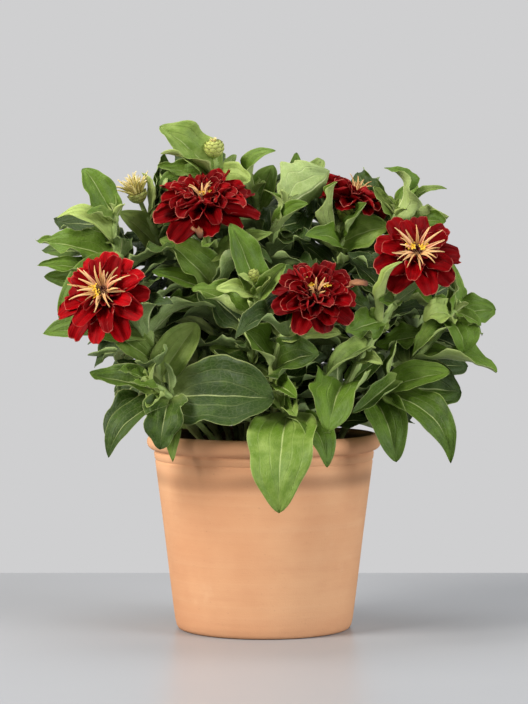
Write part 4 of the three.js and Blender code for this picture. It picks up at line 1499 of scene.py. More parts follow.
@dataclass
class Filling:
    """The leaves that close what the viewer would else see through the plant.

    It looks from spacing to spacing over the seen heights and widths. A leaf comes from a root within
    reach, has a length between the lengths, and is no wider than widest. Tries are (depth of the tip
    behind the root, width as a share of the length).
    """

    stems: list[LeafyStem]
    thicket: Thicket
    spacing: float = 4.0
    heights: tuple[float, float] = (174, 404)
    widths: tuple[float, float] = (-172, 180)
    reach: float = 62.0
    lengths: tuple[float, float] = (30, 92)
    widest: float = 34.0
    tries: tuple[tuple[float, float], ...] = (
        (6, 0.55), (-12, 0.55), (24, 0.55), (40, 0.55), (12, 0.36), (-8, 0.36), (32, 0.36))

    def roots(self) -> list[Start]:
        """Lists the places on the stems where a leaf may start.

        Returns:
            (stem, height, seen place, point) of each.
        """
        found = []
        for stem in self.stems:
            for height in np.arange(SOIL_TOP + 22, stem.top - 8, 11):
                point = stem.curve.at_height(float(height))
                found.append((stem, float(height), looks_at(point), point))
        return found

    def close(self) -> int:
        """Closes the gaps inside the plant's outline.

        Returns:
            How many leaves that took.
        """
        roots = self.roots()
        count = 0
        for height in np.arange(*self.heights, self.spacing):
            for across in np.arange(*self.widths, self.spacing):
                skirt, crown = edges_at(across)
                margin = 5 if abs(across) < 95 else 14
                if not skirt + margin < height < crown - 26 or self.thicket.hides(across, height):
                    continue
                count += self.cover(float(across), float(height), roots)
        return count

    def cover(self, across: float, height: float, roots: list[Start]) -> bool:
        """Sets one leaf over a gap, from the nearest stem where one fits.

        Args:
            across: The gap's place across.
            height: Its height.
            roots: Where a leaf may start.

        Returns:
            Whether a leaf was set.
        """
        near = sorted(roots, key=lambda root: math.hypot(root[2][0] - across, root[2][1] - height))
        deepest = None
        for i, (stem, rise, place, point) in enumerate(near[:14]):
            span = math.hypot(place[0] - across, place[1] - height)
            if span > self.reach:
                break
            for depth, share in self.tries:
                seed = across * 0.71 + height * 0.37 + i + depth
                ahead = 1 + (14 + 10 * chance(seed)) / max(span, 12)
                tip = seen((place[0] + (across - place[0]) * ahead, place[1] + (height - place[1]) * ahead,
                            float(point[1]) + depth))
                length = float(np.linalg.norm(tip - point))
                if not self.lengths[0] < length < self.lengths[1] or not is_inside_plant(tip):
                    continue
                bend = (FLAT, WAVY)[int(2 * chance(seed + 1))].value
                face = face_of(point, tip, between(35, 75, seed + 2))
                blade = Blade(point, tip, face, min(length * share, self.widest), Outline.LEAF, bend,
                              PHASES * chance(seed + 3), plain=True)
                # Painted shade: the leaves that close gaps, deep in the plant, get a darker tone.
                blade = stem.dressed(blade, seed + 4, CLOSING_PAINTED_SHADE)
                if not keeps_inside(blade):
                    continue
                if self.thicket.is_clear(blade):
                    stem.plant(blade, rise)
                    return True
                if deepest is None and blade.tip[1] > 20:
                    deepest = stem, blade, rise
        if deepest is not None:
            stem, blade, rise = deepest
            stem.plant(blade, rise)
        return deepest is not None


def keeps_inside(blade: Blade) -> bool:
    """Looks whether a leaf is seen inside the plant's outline, or nearly.

    Args:
        blade: The leaf.

    Returns:
        Whether all but its root is.
    """
    across, height = looks_at(Thicket.probe(blade, 0.2)[0].T)
    skirt, crown = edges_at(across)
    return bool((height < crown + 3).all() and (height > skirt - 12).all())


def is_inside_plant(tip: Array) -> bool:
    """Looks whether a filling leaf's tip stays inside the plant and off the blooms that the front shows.

    Args:
        tip: The tip.

    Returns:
        Whether it does.
    """
    across, height = looks_at(tip)
    skirt, crown = edges_at(across)
    low, high = (np.array(corner) / MM for corner in CAD_BOX)
    if not (low[0] + 4 < tip[0] < high[0] - 4 and low[1] + 6 < tip[1] < high[1] - 4):
        return False
    if height > crown - 6 or height < skirt + (4 if tip[1] < 0 else -14):
        return False
    for plan in BLOOMS.values():
        span = math.hypot(across - plan.face[0], height - plan.face[1])
        if tip[1] < plan.face[2] + BLOOM_DEPTH and span < BLOOM_SPACE:
            return False
    return True


def across_axis(axis: Array) -> tuple[Array, Array]:
    """Returns the two directions square to an axis: to the viewer's right, and up the picture."""
    right = unit(np.cross(UP, axis)) if abs(axis @ UP) < 0.999 else np.array([1.0, 0, 0])
    return right, np.cross(axis, right)


def outwards(axis: Array, angle: float) -> Array:
    """Returns the direction square to an axis at an angle round it, in radians."""
    right, over = across_axis(axis)
    return right * math.cos(angle) + over * math.sin(angle)


@dataclass
class Head:
    """What a bloom and a bud share: parts that leave an axis at an angle round it."""

    face: Array
    axis: Array

    def spoke(self, angle: float, lean: float, radius: float, height: float,
              length: float) -> tuple[Array, Array]:
        """Sets a part that leaves the axis.

        Args:
            angle: Its angle round the axis, in radians.
            lean: How far it leans towards the axis, in radians.
            radius: How far from the axis it starts.
            height: How far above the face it starts.
            length: Its length.

        Returns:
            Its root and its tip.
        """
        out = outwards(self.axis, angle)
        root = self.face + out * radius + self.axis * height
        return root, root + length * (out * math.cos(lean) + self.axis * math.sin(lean))

    def add_scales(self, draft: Draft, profile: Profile, per_row: int) -> None:
        """Adds overlapping rows of scales that hug a profile.

        Args:
            draft: Where they go.
            profile: (radius, height) from foot to top; each step is one row.
            per_row: How many scales a row has.
        """
        for row, ((r0, h0), (r1, h1)) in enumerate(zip(profile, profile[1:])):
            for i in range(per_row):
                out = outwards(self.axis, TAU * (i + 0.5 * (row % 2)) / per_row)
                root = self.face + out * r0 + self.axis * h0
                tip = self.face + out * (r1 + 1.15) + self.axis * (h1 + 0.35 * (h1 - h0))
                blade = Blade(root, tip, out, TAU * max(r0, r1) / per_row * 1.3, Outline.SCALE,
                              Bend.SCALE.value, tone=0.6 - 0.08 * row, seed=chance(i + 9 * row),
                              thickness=0.8, wrap=max(r0, r1, 2.0) * 0.8)
                draft.add_blade(blade, 7, 5)

    def add_core(self, draft: Draft, profile: Profile, tone: float) -> None:
        """Adds the smooth body under the scales or petals.

        Args:
            draft: Where it goes.
            profile: (radius, height) from foot to top.
            tone: Its tone.
        """
        radii, heights = (np.array(part, float) for part in zip(*profile))
        t = np.linspace(0, 1, 14)
        at = np.linspace(0, 1, len(profile))
        path = self.face + np.interp(t, at, heights)[:, None] * self.axis
        draft.add_tube(path, np.maximum(0.3, np.interp(t, at, radii)), 20, tone, 0.5)


@dataclass
class Bloom(Head):
    """A double bloom: green cup, rings of petals, quills, star florets and a dark heart."""

    name: str = ""
    plan: BloomPlan | None = None
    seed: float = 0.0

    @classmethod
    def from_plan(cls, name: str) -> "Bloom":
        """Makes one of the BLOOMS.

        Args:
            name: The bloom's name.

        Returns:
            The bloom.
        """
        plan = BLOOMS[name]
        seed = 100 * list(BLOOMS).index(name) + 11
        return cls(seen(plan.face), unit(np.array(plan.axis)), name, plan, seed)

    def ring(self, draft: Draft, ring: int, sizes: Ring, inner: bool) -> None:
        """Adds one ring of petals.

        Args:
            draft: Where they go.
            ring: Which ring it is, from the outside in.
            sizes: The ring's count, length, width and lean.
            inner: Whether these are the short rolled petals between the main rings.
        """
        count, length, width, lean = sizes
        for i in range(count):
            draw = chance(self.seed + 40 * ring + i + (500 if inner else 0))
            offset = 0.5 * (ring % 2) + (0.25 if inner else 0)
            angle = TAU * (i + offset + 0.2 * (draw - 0.5)) / count
            tilt = math.radians(lean + (5.5 if i % 2 else -5.5) + 3 * (draw - 0.5))
            own = self.seed + 300 + 40 * ring + i + (700 if inner else 0)
            reach = length * (0.92 + 0.16 * chance(own)) - 2 + self.plan.hang * max(0.0, -math.sin(angle))
            root, tip = self.spoke(angle, tilt, 6.8, -2.5 + 1.4 * ring, reach)
            cup = (0.5 if ring == 0 else 1.0) * between(0.2, 0.85, own + 2) + (0.3 if inner else 0)
            bend = replace(Bend.PETAL.value, cup=cup, hook=between(-0.06, 0.24, own + 3),
                           twist=between(-26, 26, own + 4))
            blade = Blade(root, tip, self.axis, width * between(1.14, 1.4, own + 5), Outline.PETAL, bend,
                          PHASES * draw, tone=self.plan.tone + between(-0.25, 0.25, own + 6), seed=draw,
                          thickness=0.45, frill=between(0.03, 0.17, own + 7), groove=0.5)
            draft.add_blade(blade, *PETAL_GRID)

    def build_petals(self, finish: Material) -> None:
        """Makes the petals' piece.

        Args:
            finish: Its material.
        """
        draft = Draft()
        for ring, sizes in enumerate(self.plan.rings):
            self.ring(draft, ring, sizes, inner=False)
        for ring, sizes in enumerate(self.plan.inner):
            self.ring(draft, ring + 1, sizes, inner=True)
        self.add_core(draft, [(0.3, -6), (8.4, -5.6), (9.6, -2), (7, 2.5), (0.3, 3)], 0.2)
        draft.piece(f"{self.name}_petal_rings", finish, "petal", [f"{self.name}_petals"])

    def build_quills(self, finish: Material) -> None:
        """Makes the piece of cream quills, in an outer and an inner circle.

        Args:
            finish: Its material.
        """
        draft = Draft()
        count, length, lowest = self.plan.quills
        for i in range(count):
            own = self.seed + 46 + i
            angle = TAU * (i + 1.7 * (chance(own) - 0.5)) / count
            lean = math.radians(lowest - 6 + 9 * (i % 2) + between(0, 18, own + 70))
            reach = length * between(0.55, 1.12, own + 50)
            root, tip = self.spoke(angle, lean, 2.6 + 1.6 * (i % 2), 4.6, reach)
            bend = replace(Bend.QUILL.value, rise=between(0.02, 0.2, own + 90),
                           hook=between(-0.15, 0.28, own + 95), twist=between(-90, 90, own + 99))
            blade = Blade(root, tip, self.axis, between(1.6, 3.0, own + 110), Outline.QUILL, bend,
                          tone=chance(own + 120), seed=chance(own + 3), thickness=0.5)
            draft.add_blade(blade, 14, 5)
        self.add_core(draft, [(0.3, 3.0), (4.8, 3.3), (4.2, 5.4), (0.3, 6.2)], 0.3)
        draft.piece(f"{self.name}_quills", finish, "floret", [f"{self.name}_florets"])

    def build_heart(self, finish: Material) -> None:
        """Makes the dark chaff that stands in the middle.

        Args:
            finish: Its material.
        """
        draft = Draft()
        for i in range(46):
            own = self.seed + 3.1 * i
            radius = 4.6 * math.sqrt((i + 0.5) / 46)
            lean = math.radians(between(58, 86, own))
            root, tip = self.spoke(i * SPIRAL, lean, radius, 5.0 - 0.25 * radius, between(2.8, 5.2, own + 1))
            blade = Blade(root, tip, self.axis, 1.3, Outline.QUILL, Bend.QUILL.value, tone=chance(own + 2),
                          seed=chance(own + 3), thickness=0.4)
            draft.add_blade(blade, 6, 3)
        draft.piece(f"{self.name}_heart", finish, "petal", [f"{self.name}_florets"])

    def build_stars(self, finish: Material) -> None:
        """Makes the clusters of yellow star florets, each with five curled lobes on a tube.

        Args:
            finish: Its material.
        """
        draft = Draft()
        right, over = across_axis(self.axis)
        for cluster, (x, y) in enumerate(self.plan.stars):
            for k in range(5):
                own = self.seed + 13 * cluster + k
                spread = 2.3 * min(k, 1)
                shift = right * (x + spread * math.cos(1.3 * k)) + over * (y + spread * math.sin(1.3 * k))
                sway = 0.3 * right * between(-1, 1, own) + 0.3 * over * between(-1, 1, own + 1)
                lean = unit(self.axis + sway)
                star = Head(self.face + shift + self.axis * between(7.2, 9.4, own + 2), lean)
                path = star.face - lean * np.array([[5.5], [3.5], [1.5], [0.0]])
                draft.add_tube(path, np.array([0.5, 0.6, 0.9, 1.1]), 8, 0.3, chance(own))
                for lobe in range(5):
                    root, tip = star.spoke(lobe * TAU / 5 + own, math.radians(22), 0.7, -0.2, 2.5)
                    draft.add_blade(Blade(root, tip, lean, 1.9, Outline.SCALE, Bend.LOBE.value, tone=0.8,
                                          seed=chance(lobe + own), thickness=0.4), 7, 5)
        draft.piece(f"{self.name}_stars", finish, "floret", [f"{self.name}_florets"])

    def build_cup(self, finish: Material, stem: str) -> None:
        """Makes the green scaly cup under the petals.

        Args:
            finish: Its material.
            stem: The name of the stem that it ends.
        """
        draft = Draft()
        profile = [(3.2, -20), (7.2, -16.8), (9.2, -13), (9.6, -9.6), (9.8, -6.4)]
        self.add_core(draft, [(0.3, -20), (3, -19.8), (8, -16), (9, -12), (9.2, -6.5), (0.3, -6.3)], 0.5)
        self.add_scales(draft, profile, 11)
        draft.piece(f"{self.name}_cup", finish, "leaf", [f"{stem}_leaves"])


@dataclass
class Bud(Head):
    """A scaly green bud, closed or with cream spikes that leave it."""

    stem: str = ""
    kind: BudKind = BudKind.CLOSED

    @classmethod
    def on_stem(cls, stem: LeafyStem) -> "Bud":
        """Makes the bud at the end of a stem.

        Args:
            stem: The stem.

        Returns:
            The bud.
        """
        end = stem.curve.at(1)
        axis = unit(end - stem.curve.at(0.9995))
        return cls(end - axis * 2, axis, stem.plan.name, stem.plan.bud)

    def build(self, green: Material, cream: Material) -> None:
        """Makes the bud's scaly body and what leaves its top.

        Args:
            green: The scales' material.
            cream: The tips' material.
        """
        shape = self.kind.value
        size = shape.size
        draft = Draft()
        core = ((0.3, 0), (2.7, 0.2), (6.6, 3.5), *shape.top)
        self.add_core(draft, [(r * size, h * size) for r, h in core], 0.55)
        self.add_scales(draft, [(r * size, h * size) for r, h in shape.rows], 9)
        draft.piece(f"{self.stem}_scales", green, "leaf", [f"{self.stem}_leaves"])
        spikes = Draft()
        for i in range(shape.spikes):
            share = (i + 0.5) / shape.spikes
            lean = math.radians(86 - shape.spread * share + between(-5, 5, i))
            root, tip = self.spoke(i * SPIRAL, lean, shape.radius * size * math.sqrt(share),
                                   shape.height * size, between(shape.least, shape.most, i + 5))
            bend = replace(Bend.QUILL.value, hook=between(-0.15, 0.15, i + 2), twist=between(-50, 50, i + 3))
            spikes.add_blade(Blade(root, tip, self.axis, shape.width, Outline.QUILL, bend,
                                   tone=chance(i + 6), seed=chance(i + 7), thickness=0.5), 10, 5)
        nodes = [f"{self.stem}_florets"] if self.kind is BudKind.OPENING else []
        spikes.piece(f"{self.stem}_spikes", cream, "floret", nodes)


Input = "Value | float | Colour"


class Value:
    """A shader socket that does arithmetic with other sockets and with numbers."""

    def __init__(self, tree: "Graph", socket: bpy.types.NodeSocket) -> None:
        """Wraps a node's output."""
        self.tree = tree
        self.socket = socket

    def _maths(self, operation: str, *terms: Input) -> "Value":
        """Returns the result of one maths node."""
        return self.tree.node("ShaderNodeMath", {"operation": operation}, dict(enumerate(terms)))

    def __add__(self, other: Input) -> "Value":
        """Returns the sum."""
        return self._maths("ADD", self, other)

    __radd__ = __add__

    def __mul__(self, other: Input) -> "Value":
        """Returns the product."""
        return self._maths("MULTIPLY", self, other)

    __rmul__ = __mul__

    def __sub__(self, other: Input) -> "Value":
        """Returns the difference."""
        return self._maths("SUBTRACT", self, other)

    def __rsub__(self, other: Input) -> "Value":
        """Returns the difference the other way round."""
        return self._maths("SUBTRACT", other, self)

    def __pow__(self, other: Input) -> "Value":
        """Returns the power."""
        return self._maths("POWER", self, other)

    def __abs__(self) -> "Value":
        """Returns the value without its sign."""
        return self._maths("ABSOLUTE", self)

    def sine(self) -> "Value":
        """Returns the sine of the value in radians."""
        return self._maths("SINE", self)

    def step(self, low: float, high: float) -> "Value":
        """Returns a smooth step from 0 at low to 1 at high; low may be the greater."""
        return self.tree.node("ShaderNodeMapRange", {"interpolation_type": "SMOOTHSTEP"},
                              {0: self, 1: low, 2: high})


class Graph:
    """The nodes of a material or of the surroundings."""

    def __init__(self, tree: bpy.types.NodeTree) -> None:
        """Keeps the tree's nodes and links."""
        self.nodes = tree.nodes
        self.links = tree.links

    def node(self, kind: str, settings: dict[str, object], inputs: dict[int | str, Input],
             out: int | str = 0) -> Value:
        """Adds a node.

        Args:
            kind: The node's type.
            settings: Its properties, set first.
            inputs: What each socket holds or is linked to.
            out: Which output is wanted.

        Returns:
            The wrapped output.
        """
        made = self.nodes.new(kind)
        for label, value in settings.items():
            setattr(made, label, value)
        for key, value in inputs.items():
            if isinstance(value, Value):
                self.links.new(value.socket, made.inputs[key])
            else:
                made.inputs[key].default_value = value
        return Value(self, made.outputs[out])


class Tree(Graph):
    """Builds the shader nodes of one material."""

    def __init__(self, name: str, gloss: float) -> None:
        """Starts a material.

        Args:
            name: The material's name.
            gloss: Its specular level, on the shader's own socket.
        """
        self.material = bpy.data.materials.new(name)
        self.material.use_nodes = True
        super().__init__(self.material.node_tree)
        self.shader = self.nodes["Principled BSDF"]
        self.shader.inputs["Specular IOR Level"].default_value = gloss

    def parts(self, name: str) -> tuple[Value, Value, Value]:
        """Returns the three parts of a point attribute."""
        vector = self.node("ShaderNodeAttribute", {"attribute_name": name}, {}, "Vector")
        return tuple(self.node("ShaderNodeSeparateXYZ", {}, {0: vector}, i) for i in range(3))

    def place(self) -> Value:
        """Returns the object's own coordinates, in metres."""
        return self.node("ShaderNodeTexCoord", {}, {}, "Object")

    def joined(self, x: Input, y: Input, z: Input) -> Value:
        """Returns a vector of three values."""
        return self.node("ShaderNodeCombineXYZ", {}, {0: x, 1: y, 2: z})

    def noise(self, scale: float, detail: float, rough: float = 0.55, at: Value | None = None) -> Value:
        """Returns smooth noise between 0 and 1, at the object's own place or at another."""
        sockets = {"Vector": at or self.place(), "Scale": scale, "Detail": detail, "Roughness": rough}
        return self.node("ShaderNodeTexNoise", {}, sockets)

    def cells(self, vector: Value, scale: float) -> Value:
        """Returns the distance to the nearest edge of a net of cells."""
        return self.node("ShaderNodeTexVoronoi", {"feature": "DISTANCE_TO_EDGE"},
                         {"Vector": vector, "Scale": scale})

    def blend(self, share: Input, first: Input, second: Input) -> Value:
        """Returns the mix of two colours, the second by its share."""
        return self.node("ShaderNodeMix", {"data_type": "RGBA"}, {0: share, 6: first, 7: second}, 2)

    def bump(self, height: Value, strength: float, distance: float) -> None:
        """Lets a height raise the surface.

        Args:
            height: The height, from 0 to 1.
            strength: How much of it shows.
            distance: How far it raises the surface, in metres.
        """
        sockets = {"Strength": strength, "Distance": distance, "Height": height}
        normal = self.node("ShaderNodeBump", {}, sockets, "Normal")
        self.links.new(normal.socket, self.shader.inputs["Normal"])

    def finish(self, colour: Value, rough: Value) -> Material:
        """Links a surface's colour and roughness to the shader.

        Args:
            colour: The colour.
            rough: The roughness.

        Returns:
            The material.
        """
        self.links.new(colour.socket, self.shader.inputs["Base Color"])
        self.links.new(rough.socket, self.shader.inputs["Roughness"])
        return self.material


def rgb(red: int, green: int, blue: int) -> Colour:
    """Returns a display colour, 0 to 255, as linear light."""
    shares = (part / 255 for part in (red, green, blue))
    return (*(part / 12.92 if part <= 0.04045 else ((part + 0.055) / 1.055) ** 2.4 for part in shares), 1.0)


@dataclass(frozen=True)
class LeafFinish:
    """Zinnia leaves: matt green with lengthwise veins, a fine net, a pale rim and a paler back."""

    dark: Colour = rgb(35, 56, 4)
    middle: Colour = rgb(84, 112, 26)
    light: Colour = rgb(158, 176, 94)
    vein: Colour = rgb(198, 208, 142)
    back: Colour = rgb(128, 148, 92)
    young_back: Colour = rgb(172, 188, 108)
    back_vein: Colour = rgb(220, 226, 168)
    rim: Colour = rgb(176, 184, 116)

    def build(self) -> Material:
        """Makes the material.

        Returns:
            The material.
        """
        tree = Tree("leaf", 0.24)
        u, v, tone = tree.parts("blade")
        seed, upper, width = tree.parts("trait")
        mottle = tree.noise(70, 4, 0.6)
        # The tone brings painted light and shade from the leaf's place in the plant; the mottle adds real
        # tints.
        shade = tone + (mottle - 0.5) * 0.55
        green = tree.blend(shade.step(0.0, 0.5), self.dark, self.middle)
        green = tree.blend(shade.step(0.45, 1.0), green, self.light)
        across = abs(v)
        waver = (tree.noise(45, 2) - 0.5) * 0.06
        side = across + waver
        inner = abs(side - 0.34 * (u * 3.4).sine().step(-0.2, 1.0)).step(0.0, 0.035)
        outer = abs(side - 0.68).step(0.0, 0.03)
        ribs = side.step(0.0, 0.06) * inner * outer
        grid = tree.joined(u * 26, v * width * 0.22, seed * 40)
        net = tree.cells(grid, 0.8).step(0.0, 0.14)
        midrib = 1 - (side * width).step(0.3, 1.5)
        lines = ((1 - ribs) * 0.08 + midrib * 0.42) * u.step(1.02, 0.6)
        green = tree.blend((1 - net) * 0.035, green, self.vein)
        green = tree.blend(lines, green, self.vein)
        green = tree.blend((1 - u.step(0.02, 0.3)) * 0.45, green, self.light)
        under = tree.blend(shade.step(0.0, 0.9), self.back, self.young_back)
        under = tree.blend(mottle.step(0.45, 0.7) * 0.35, under, self.middle)
        under = tree.blend(lines * 1.6 + (1 - net) * 0.1, under, self.back_vein)
        colour = tree.blend(upper.step(0.4, 0.6), under, green)
        edge = across.step(0.96, 0.995) * 0.4
        colour = tree.blend(edge, colour, self.rim)
        spots = tree.noise(260, 2).step(0.7, 0.78) * 0.35
        colour = tree.blend(spots, colour, self.dark)
        quilt = ribs * 0.3 + net * 0.1 + mottle * 0.95 + tree.noise(420, 2) * 0.15
        tree.bump(quilt, 0.85, 0.0013)
        return tree.finish(colour, 0.42 + mottle * 0.26)


@dataclass(frozen=True)
class StalkFinish:
    """Stems: pale ridged green, browner at the foot, with reddish streaks."""

    young: Colour = rgb(148, 170, 96)
    old: Colour = rgb(112, 112, 66)
    streak: Colour = rgb(150, 104, 78)
    hair: Colour = rgb(206, 212, 170)

    def build(self) -> Material:
        """Makes the material.

        Returns:
            The material.
        """
        tree = Tree("stalk", 0.35)
        share, turn, tone = tree.parts("blade")
        mottle = tree.noise(90, 4)
        ridges = (turn * (TAU * 9)).sine()
        colour = tree.blend(share.step(0.05, 0.55) + (mottle - 0.5) * 0.5, self.old, self.young)
        fine = tree.noise(2.2, 3, at=tree.joined(turn * 14, share * 5, mottle))
        colour = tree.blend(fine.step(0.55, 0.72) * 0.5, colour, self.streak)
        colour = tree.blend(tone.step(0.6, 0.9), colour, self.hair)
        tree.bump(ridges * 0.3 + tree.noise(700, 2), 0.6, 0.0006)
        return tree.finish(colour, 0.5 + mottle * 0.2)


@dataclass(frozen=True)
class ScaleFinish:
    """The overlapping green scales of cups and buds, with dark fringes."""

    green: Colour = rgb(128, 146, 52)
    pale: Colour = rgb(184, 192, 96)
    fringe: Colour = rgb(58, 48, 26)

    def build(self) -> Material:
        """Makes the material.

        Returns:
            The material.
        """
        tree = Tree("scale", 0.3)
        u, v, tone = tree.parts("blade")
        grain = tree.noise(320, 3)
        ragged = (grain - 0.5) * 0.5
        colour = tree.blend(tone + (grain - 0.5) * 0.6, self.green, self.pale)
        streaks = (v * 14).sine().step(0.3, 1.0) * 0.3
        colour = tree.blend(streaks, colour, self.green)
        pale = (1 - abs(u - 0.62).step(0.0, 0.28)) * (1 - abs(v).step(0.2, 0.8))
        colour = tree.blend(pale * 0.7, colour, self.pale)
        fringe = (u + abs(v) ** 2 * 0.22 + ragged * 0.5).step(0.86, 1.0)
        colour = tree.blend(fringe * 0.85, colour, self.fringe)
        tree.bump(grain + streaks, 0.6, 0.0005)
        return tree.finish(colour, 0.5 + grain * 0.2)


@dataclass(frozen=True)
class PetalFinish:
    """Deep crimson petals: darker to the root, streaked lengthwise, pale along the rim and on the back."""

    deep: Colour = rgb(44, 0, 1)
    red: Colour = rgb(118, 0, 4)
    bright: Colour = rgb(188, 2, 13)
    back: Colour = rgb(134, 18, 22)
    rim: Colour = rgb(208, 118, 100)

    def build(self) -> Material:
        """Makes the material.

        Returns:
            The material.
        """
        tree = Tree("petal", 0.06)
        u, v, tone = tree.parts("blade")
        seed, upper, _ = tree.parts("trait")
        mottle = tree.noise(110, 3)
        streaks = tree.noise(1.6, 4, 0.6, at=tree.joined(v * 7, u * 0.9, seed * 30))
        shade = tone * 0.6 + streaks * 0.5 + (mottle - 0.5) * 0.3
        colour = tree.blend(shade.step(0.15, 0.62), self.deep, self.red)
        colour = tree.blend(shade.step(0.55, 0.95) * 0.8, colour, self.bright)
        colour = tree.blend((1 - u.step(0.0, 0.5)) * 0.85, colour, self.deep)
        under = tree.blend(streaks.step(0.35, 0.7), self.back, self.red)
        colour = tree.blend(upper.step(0.4, 0.6), under, colour)
        across = abs(v)
        edge = (across + (streaks - 0.5) * 0.08).step(0.94, 0.995)
        end = (u + (streaks - 0.5) * 0.05).step(0.968, 0.997)
        worn = (seed * 7.7).sine().step(-0.5, 0.9) * 0.55 + 0.2
        colour = tree.blend((edge + end).step(0.0, 1.0) * worn * u.step(0.2, 0.6), colour, self.rim)
        tree.bump(streaks + mottle * 0.3, 0.7, 0.0009)
        return tree.finish(colour, 0.42 + streaks * 0.2)


@dataclass(frozen=True)
class QuillFinish:
    """Narrow cream quills with a darker groove, some blushed with pink."""

    cream: Colour = rgb(230, 194, 138)
    tan: Colour = rgb(206, 156, 96)
    groove: Colour = rgb(140, 78, 44)
    blush: Colour = rgb(214, 120, 104)

    def build(self) -> Material:
        """Makes the material.

        Returns:
            The material.
        """
        tree = Tree("quill", 0.35)
        u, v, tone = tree.parts("blade")
        grain = tree.noise(300, 3)
        colour = tree.blend(tone + (grain - 0.5) * 0.5, self.tan, self.cream)
        colour = tree.blend(tone.step(0.74, 0.9) * u.step(1.0, 0.2) * 0.7, colour, self.blush)
        hollow = 1 - abs(v).step(0.0, 0.4)
        colour = tree.blend(hollow * 0.62, colour, self.groove)
        colour = tree.blend((1 - u.step(0.0, 0.3)) * 0.7, colour, self.groove)
        tree.bump(grain - hollow, 0.6, 0.0004)
        return tree.finish(colour, 0.4 + grain * 0.2)


@dataclass(frozen=True)
class GrainedFinish:
    """A small part's finish: two colours mixed by tone and grain, and a third at the tip."""

    name: str
    low: Colour
    high: Colour
    tip: Colour
    tip_start: float
    grain_scale: float

    def build(self) -> Material:
        """Makes the material.

        Returns:
            The material.
        """
        tree = Tree(self.name, 0.3)
        u, v, tone = tree.parts("blade")
        grain = tree.noise(self.grain_scale, 4)
        colour = tree.blend((tone * 0.7 + grain * 0.6).step(0.2, 1.0), self.low, self.high)
        colour = tree.blend(u.step(self.tip_start, 1.0) * 0.8, colour, self.tip)
        lines = (v * 9).sine() * 0.3
        tree.bump(grain + lines, 0.7, 0.0005)
        return tree.finish(colour, 0.5 + grain * 0.3)


YOUNG_SCALE = ScaleFinish(rgb(150, 164, 66), rgb(206, 208, 126), rgb(84, 72, 34))
YOUNG_QUILL = GrainedFinish(
    "young quill", rgb(168, 160, 70), rgb(232, 214, 138), rgb(244, 226, 170), 0.6, 300)
STAR = GrainedFinish("star", rgb(206, 130, 16), rgb(240, 190, 40), rgb(250, 216, 90), 0.5, 400)
HEART = GrainedFinish("heart", rgb(48, 4, 8), rgb(110, 10, 18), rgb(200, 150, 110), 0.72, 400)
DRIED = GrainedFinish("dried petal", rgb(84, 46, 28), rgb(158, 108, 70), rgb(72, 40, 26), 0.7, 160)


@dataclass(frozen=True)
class ClayFinish:
    """Fired clay: pale orange with cloudy tints, throwing lines, specks and paler worn patches, and painted
    shade inside the rim.
    """

    clay: Colour = rgb(202, 147, 107)
    pale: Colour = rgb(213, 162, 121)
    burnt: Colour = rgb(186, 125, 90)
    bloom: Colour = rgb(222, 186, 151)
    speck: Colour = rgb(120, 74, 54)
    painted_shade_inside: Colour = rgb(70, 46, 34)

    def build(self) -> Material:
        """Makes the material.

        Returns:
            The material.
        """
        tree = Tree("clay", 0.25)
        place = tree.place()
        across, depth, height = (tree.node("ShaderNodeSeparateXYZ", {}, {0: place}, i) for i in range(3))
        clouds = tree.noise(9, 4, 0.6)
        turned_lines = tree.noise(1.0, 3, 0.6, at=tree.joined(across * 3, depth * 3, height * 130))
        streaks = tree.noise(1.0, 4, 0.65, at=tree.joined(across * 14, depth * 14, height * 55))
        grain = tree.noise(900, 2)
        colour = tree.blend(clouds.step(0.3, 0.7), self.clay, self.pale)
        colour = tree.blend(streaks.step(0.45, 0.8) * 0.22, colour, self.burnt)
        colour = tree.blend(turned_lines.step(0.45, 0.75) * 0.1, colour, self.bloom)
        worn = tree.noise(26, 5, 0.7).step(0.6, 0.75) * 0.15
        colour = tree.blend(worn, colour, self.bloom)
        colour = tree.blend(tree.noise(620, 1).step(0.72, 0.8) * 0.3, colour, self.speck)
        damp = height.step(0.03, 0.0) * 0.25
        colour = tree.blend(damp, colour, self.burnt)
        # Painted shade: the clay inside the rim is darkened, where little light reaches.
        radius = (across ** 2 + depth ** 2) ** 0.5
        inside = radius.step(0.0925, 0.0905) * height.step(0.12, 0.14)
        colour = tree.blend(inside * 0.85, colour, self.painted_shade_inside)
        tree.bump(turned_lines * 0.9 + grain * 0.35 + streaks * 0.4, 0.55, 0.0006)
        return tree.finish(colour, 0.72 + clouds * 0.15)


@dataclass(frozen=True)
class SoilFinish:
    """Damp potting soil with paler fibres and crumbs."""

    dark: Colour = rgb(38, 27, 20)
    brown: Colour = rgb(84, 62, 44)
    fibre: Colour = rgb(150, 118, 84)

    def build(self) -> Material:
        """Makes the material.

        Returns:
            The material.
        """
        tree = Tree("soil", 0.2)
        lumps = tree.noise(160, 5, 0.7)
        _, _, tone = tree.parts("blade")
        colour = tree.blend((lumps + tone * 0.4).step(0.4, 0.85), self.dark, self.brown)
        colour = tree.blend(tree.noise(520, 2).step(0.66, 0.74) * 0.8, colour, self.fibre)
        tree.bump(lumps, 1.0, 0.002)
        return tree.finish(colour, 0.8 + lumps * 0.15)


@dataclass(frozen=True)
class FloorFinish:
    """The pale, slightly glossy floor."""

    pale: Colour = rgb(163, 164, 167)
    cool: Colour = rgb(156, 158, 162)

    def build(self) -> Material:
        """Makes the material.

        Returns:
            The material.
        """
        tree = Tree("floor", 0.4)
        clouds = tree.noise(3, 2)
        colour = tree.blend(clouds, self.pale, self.cool)
        return tree.finish(colour, 0.28 + clouds * 0.1)


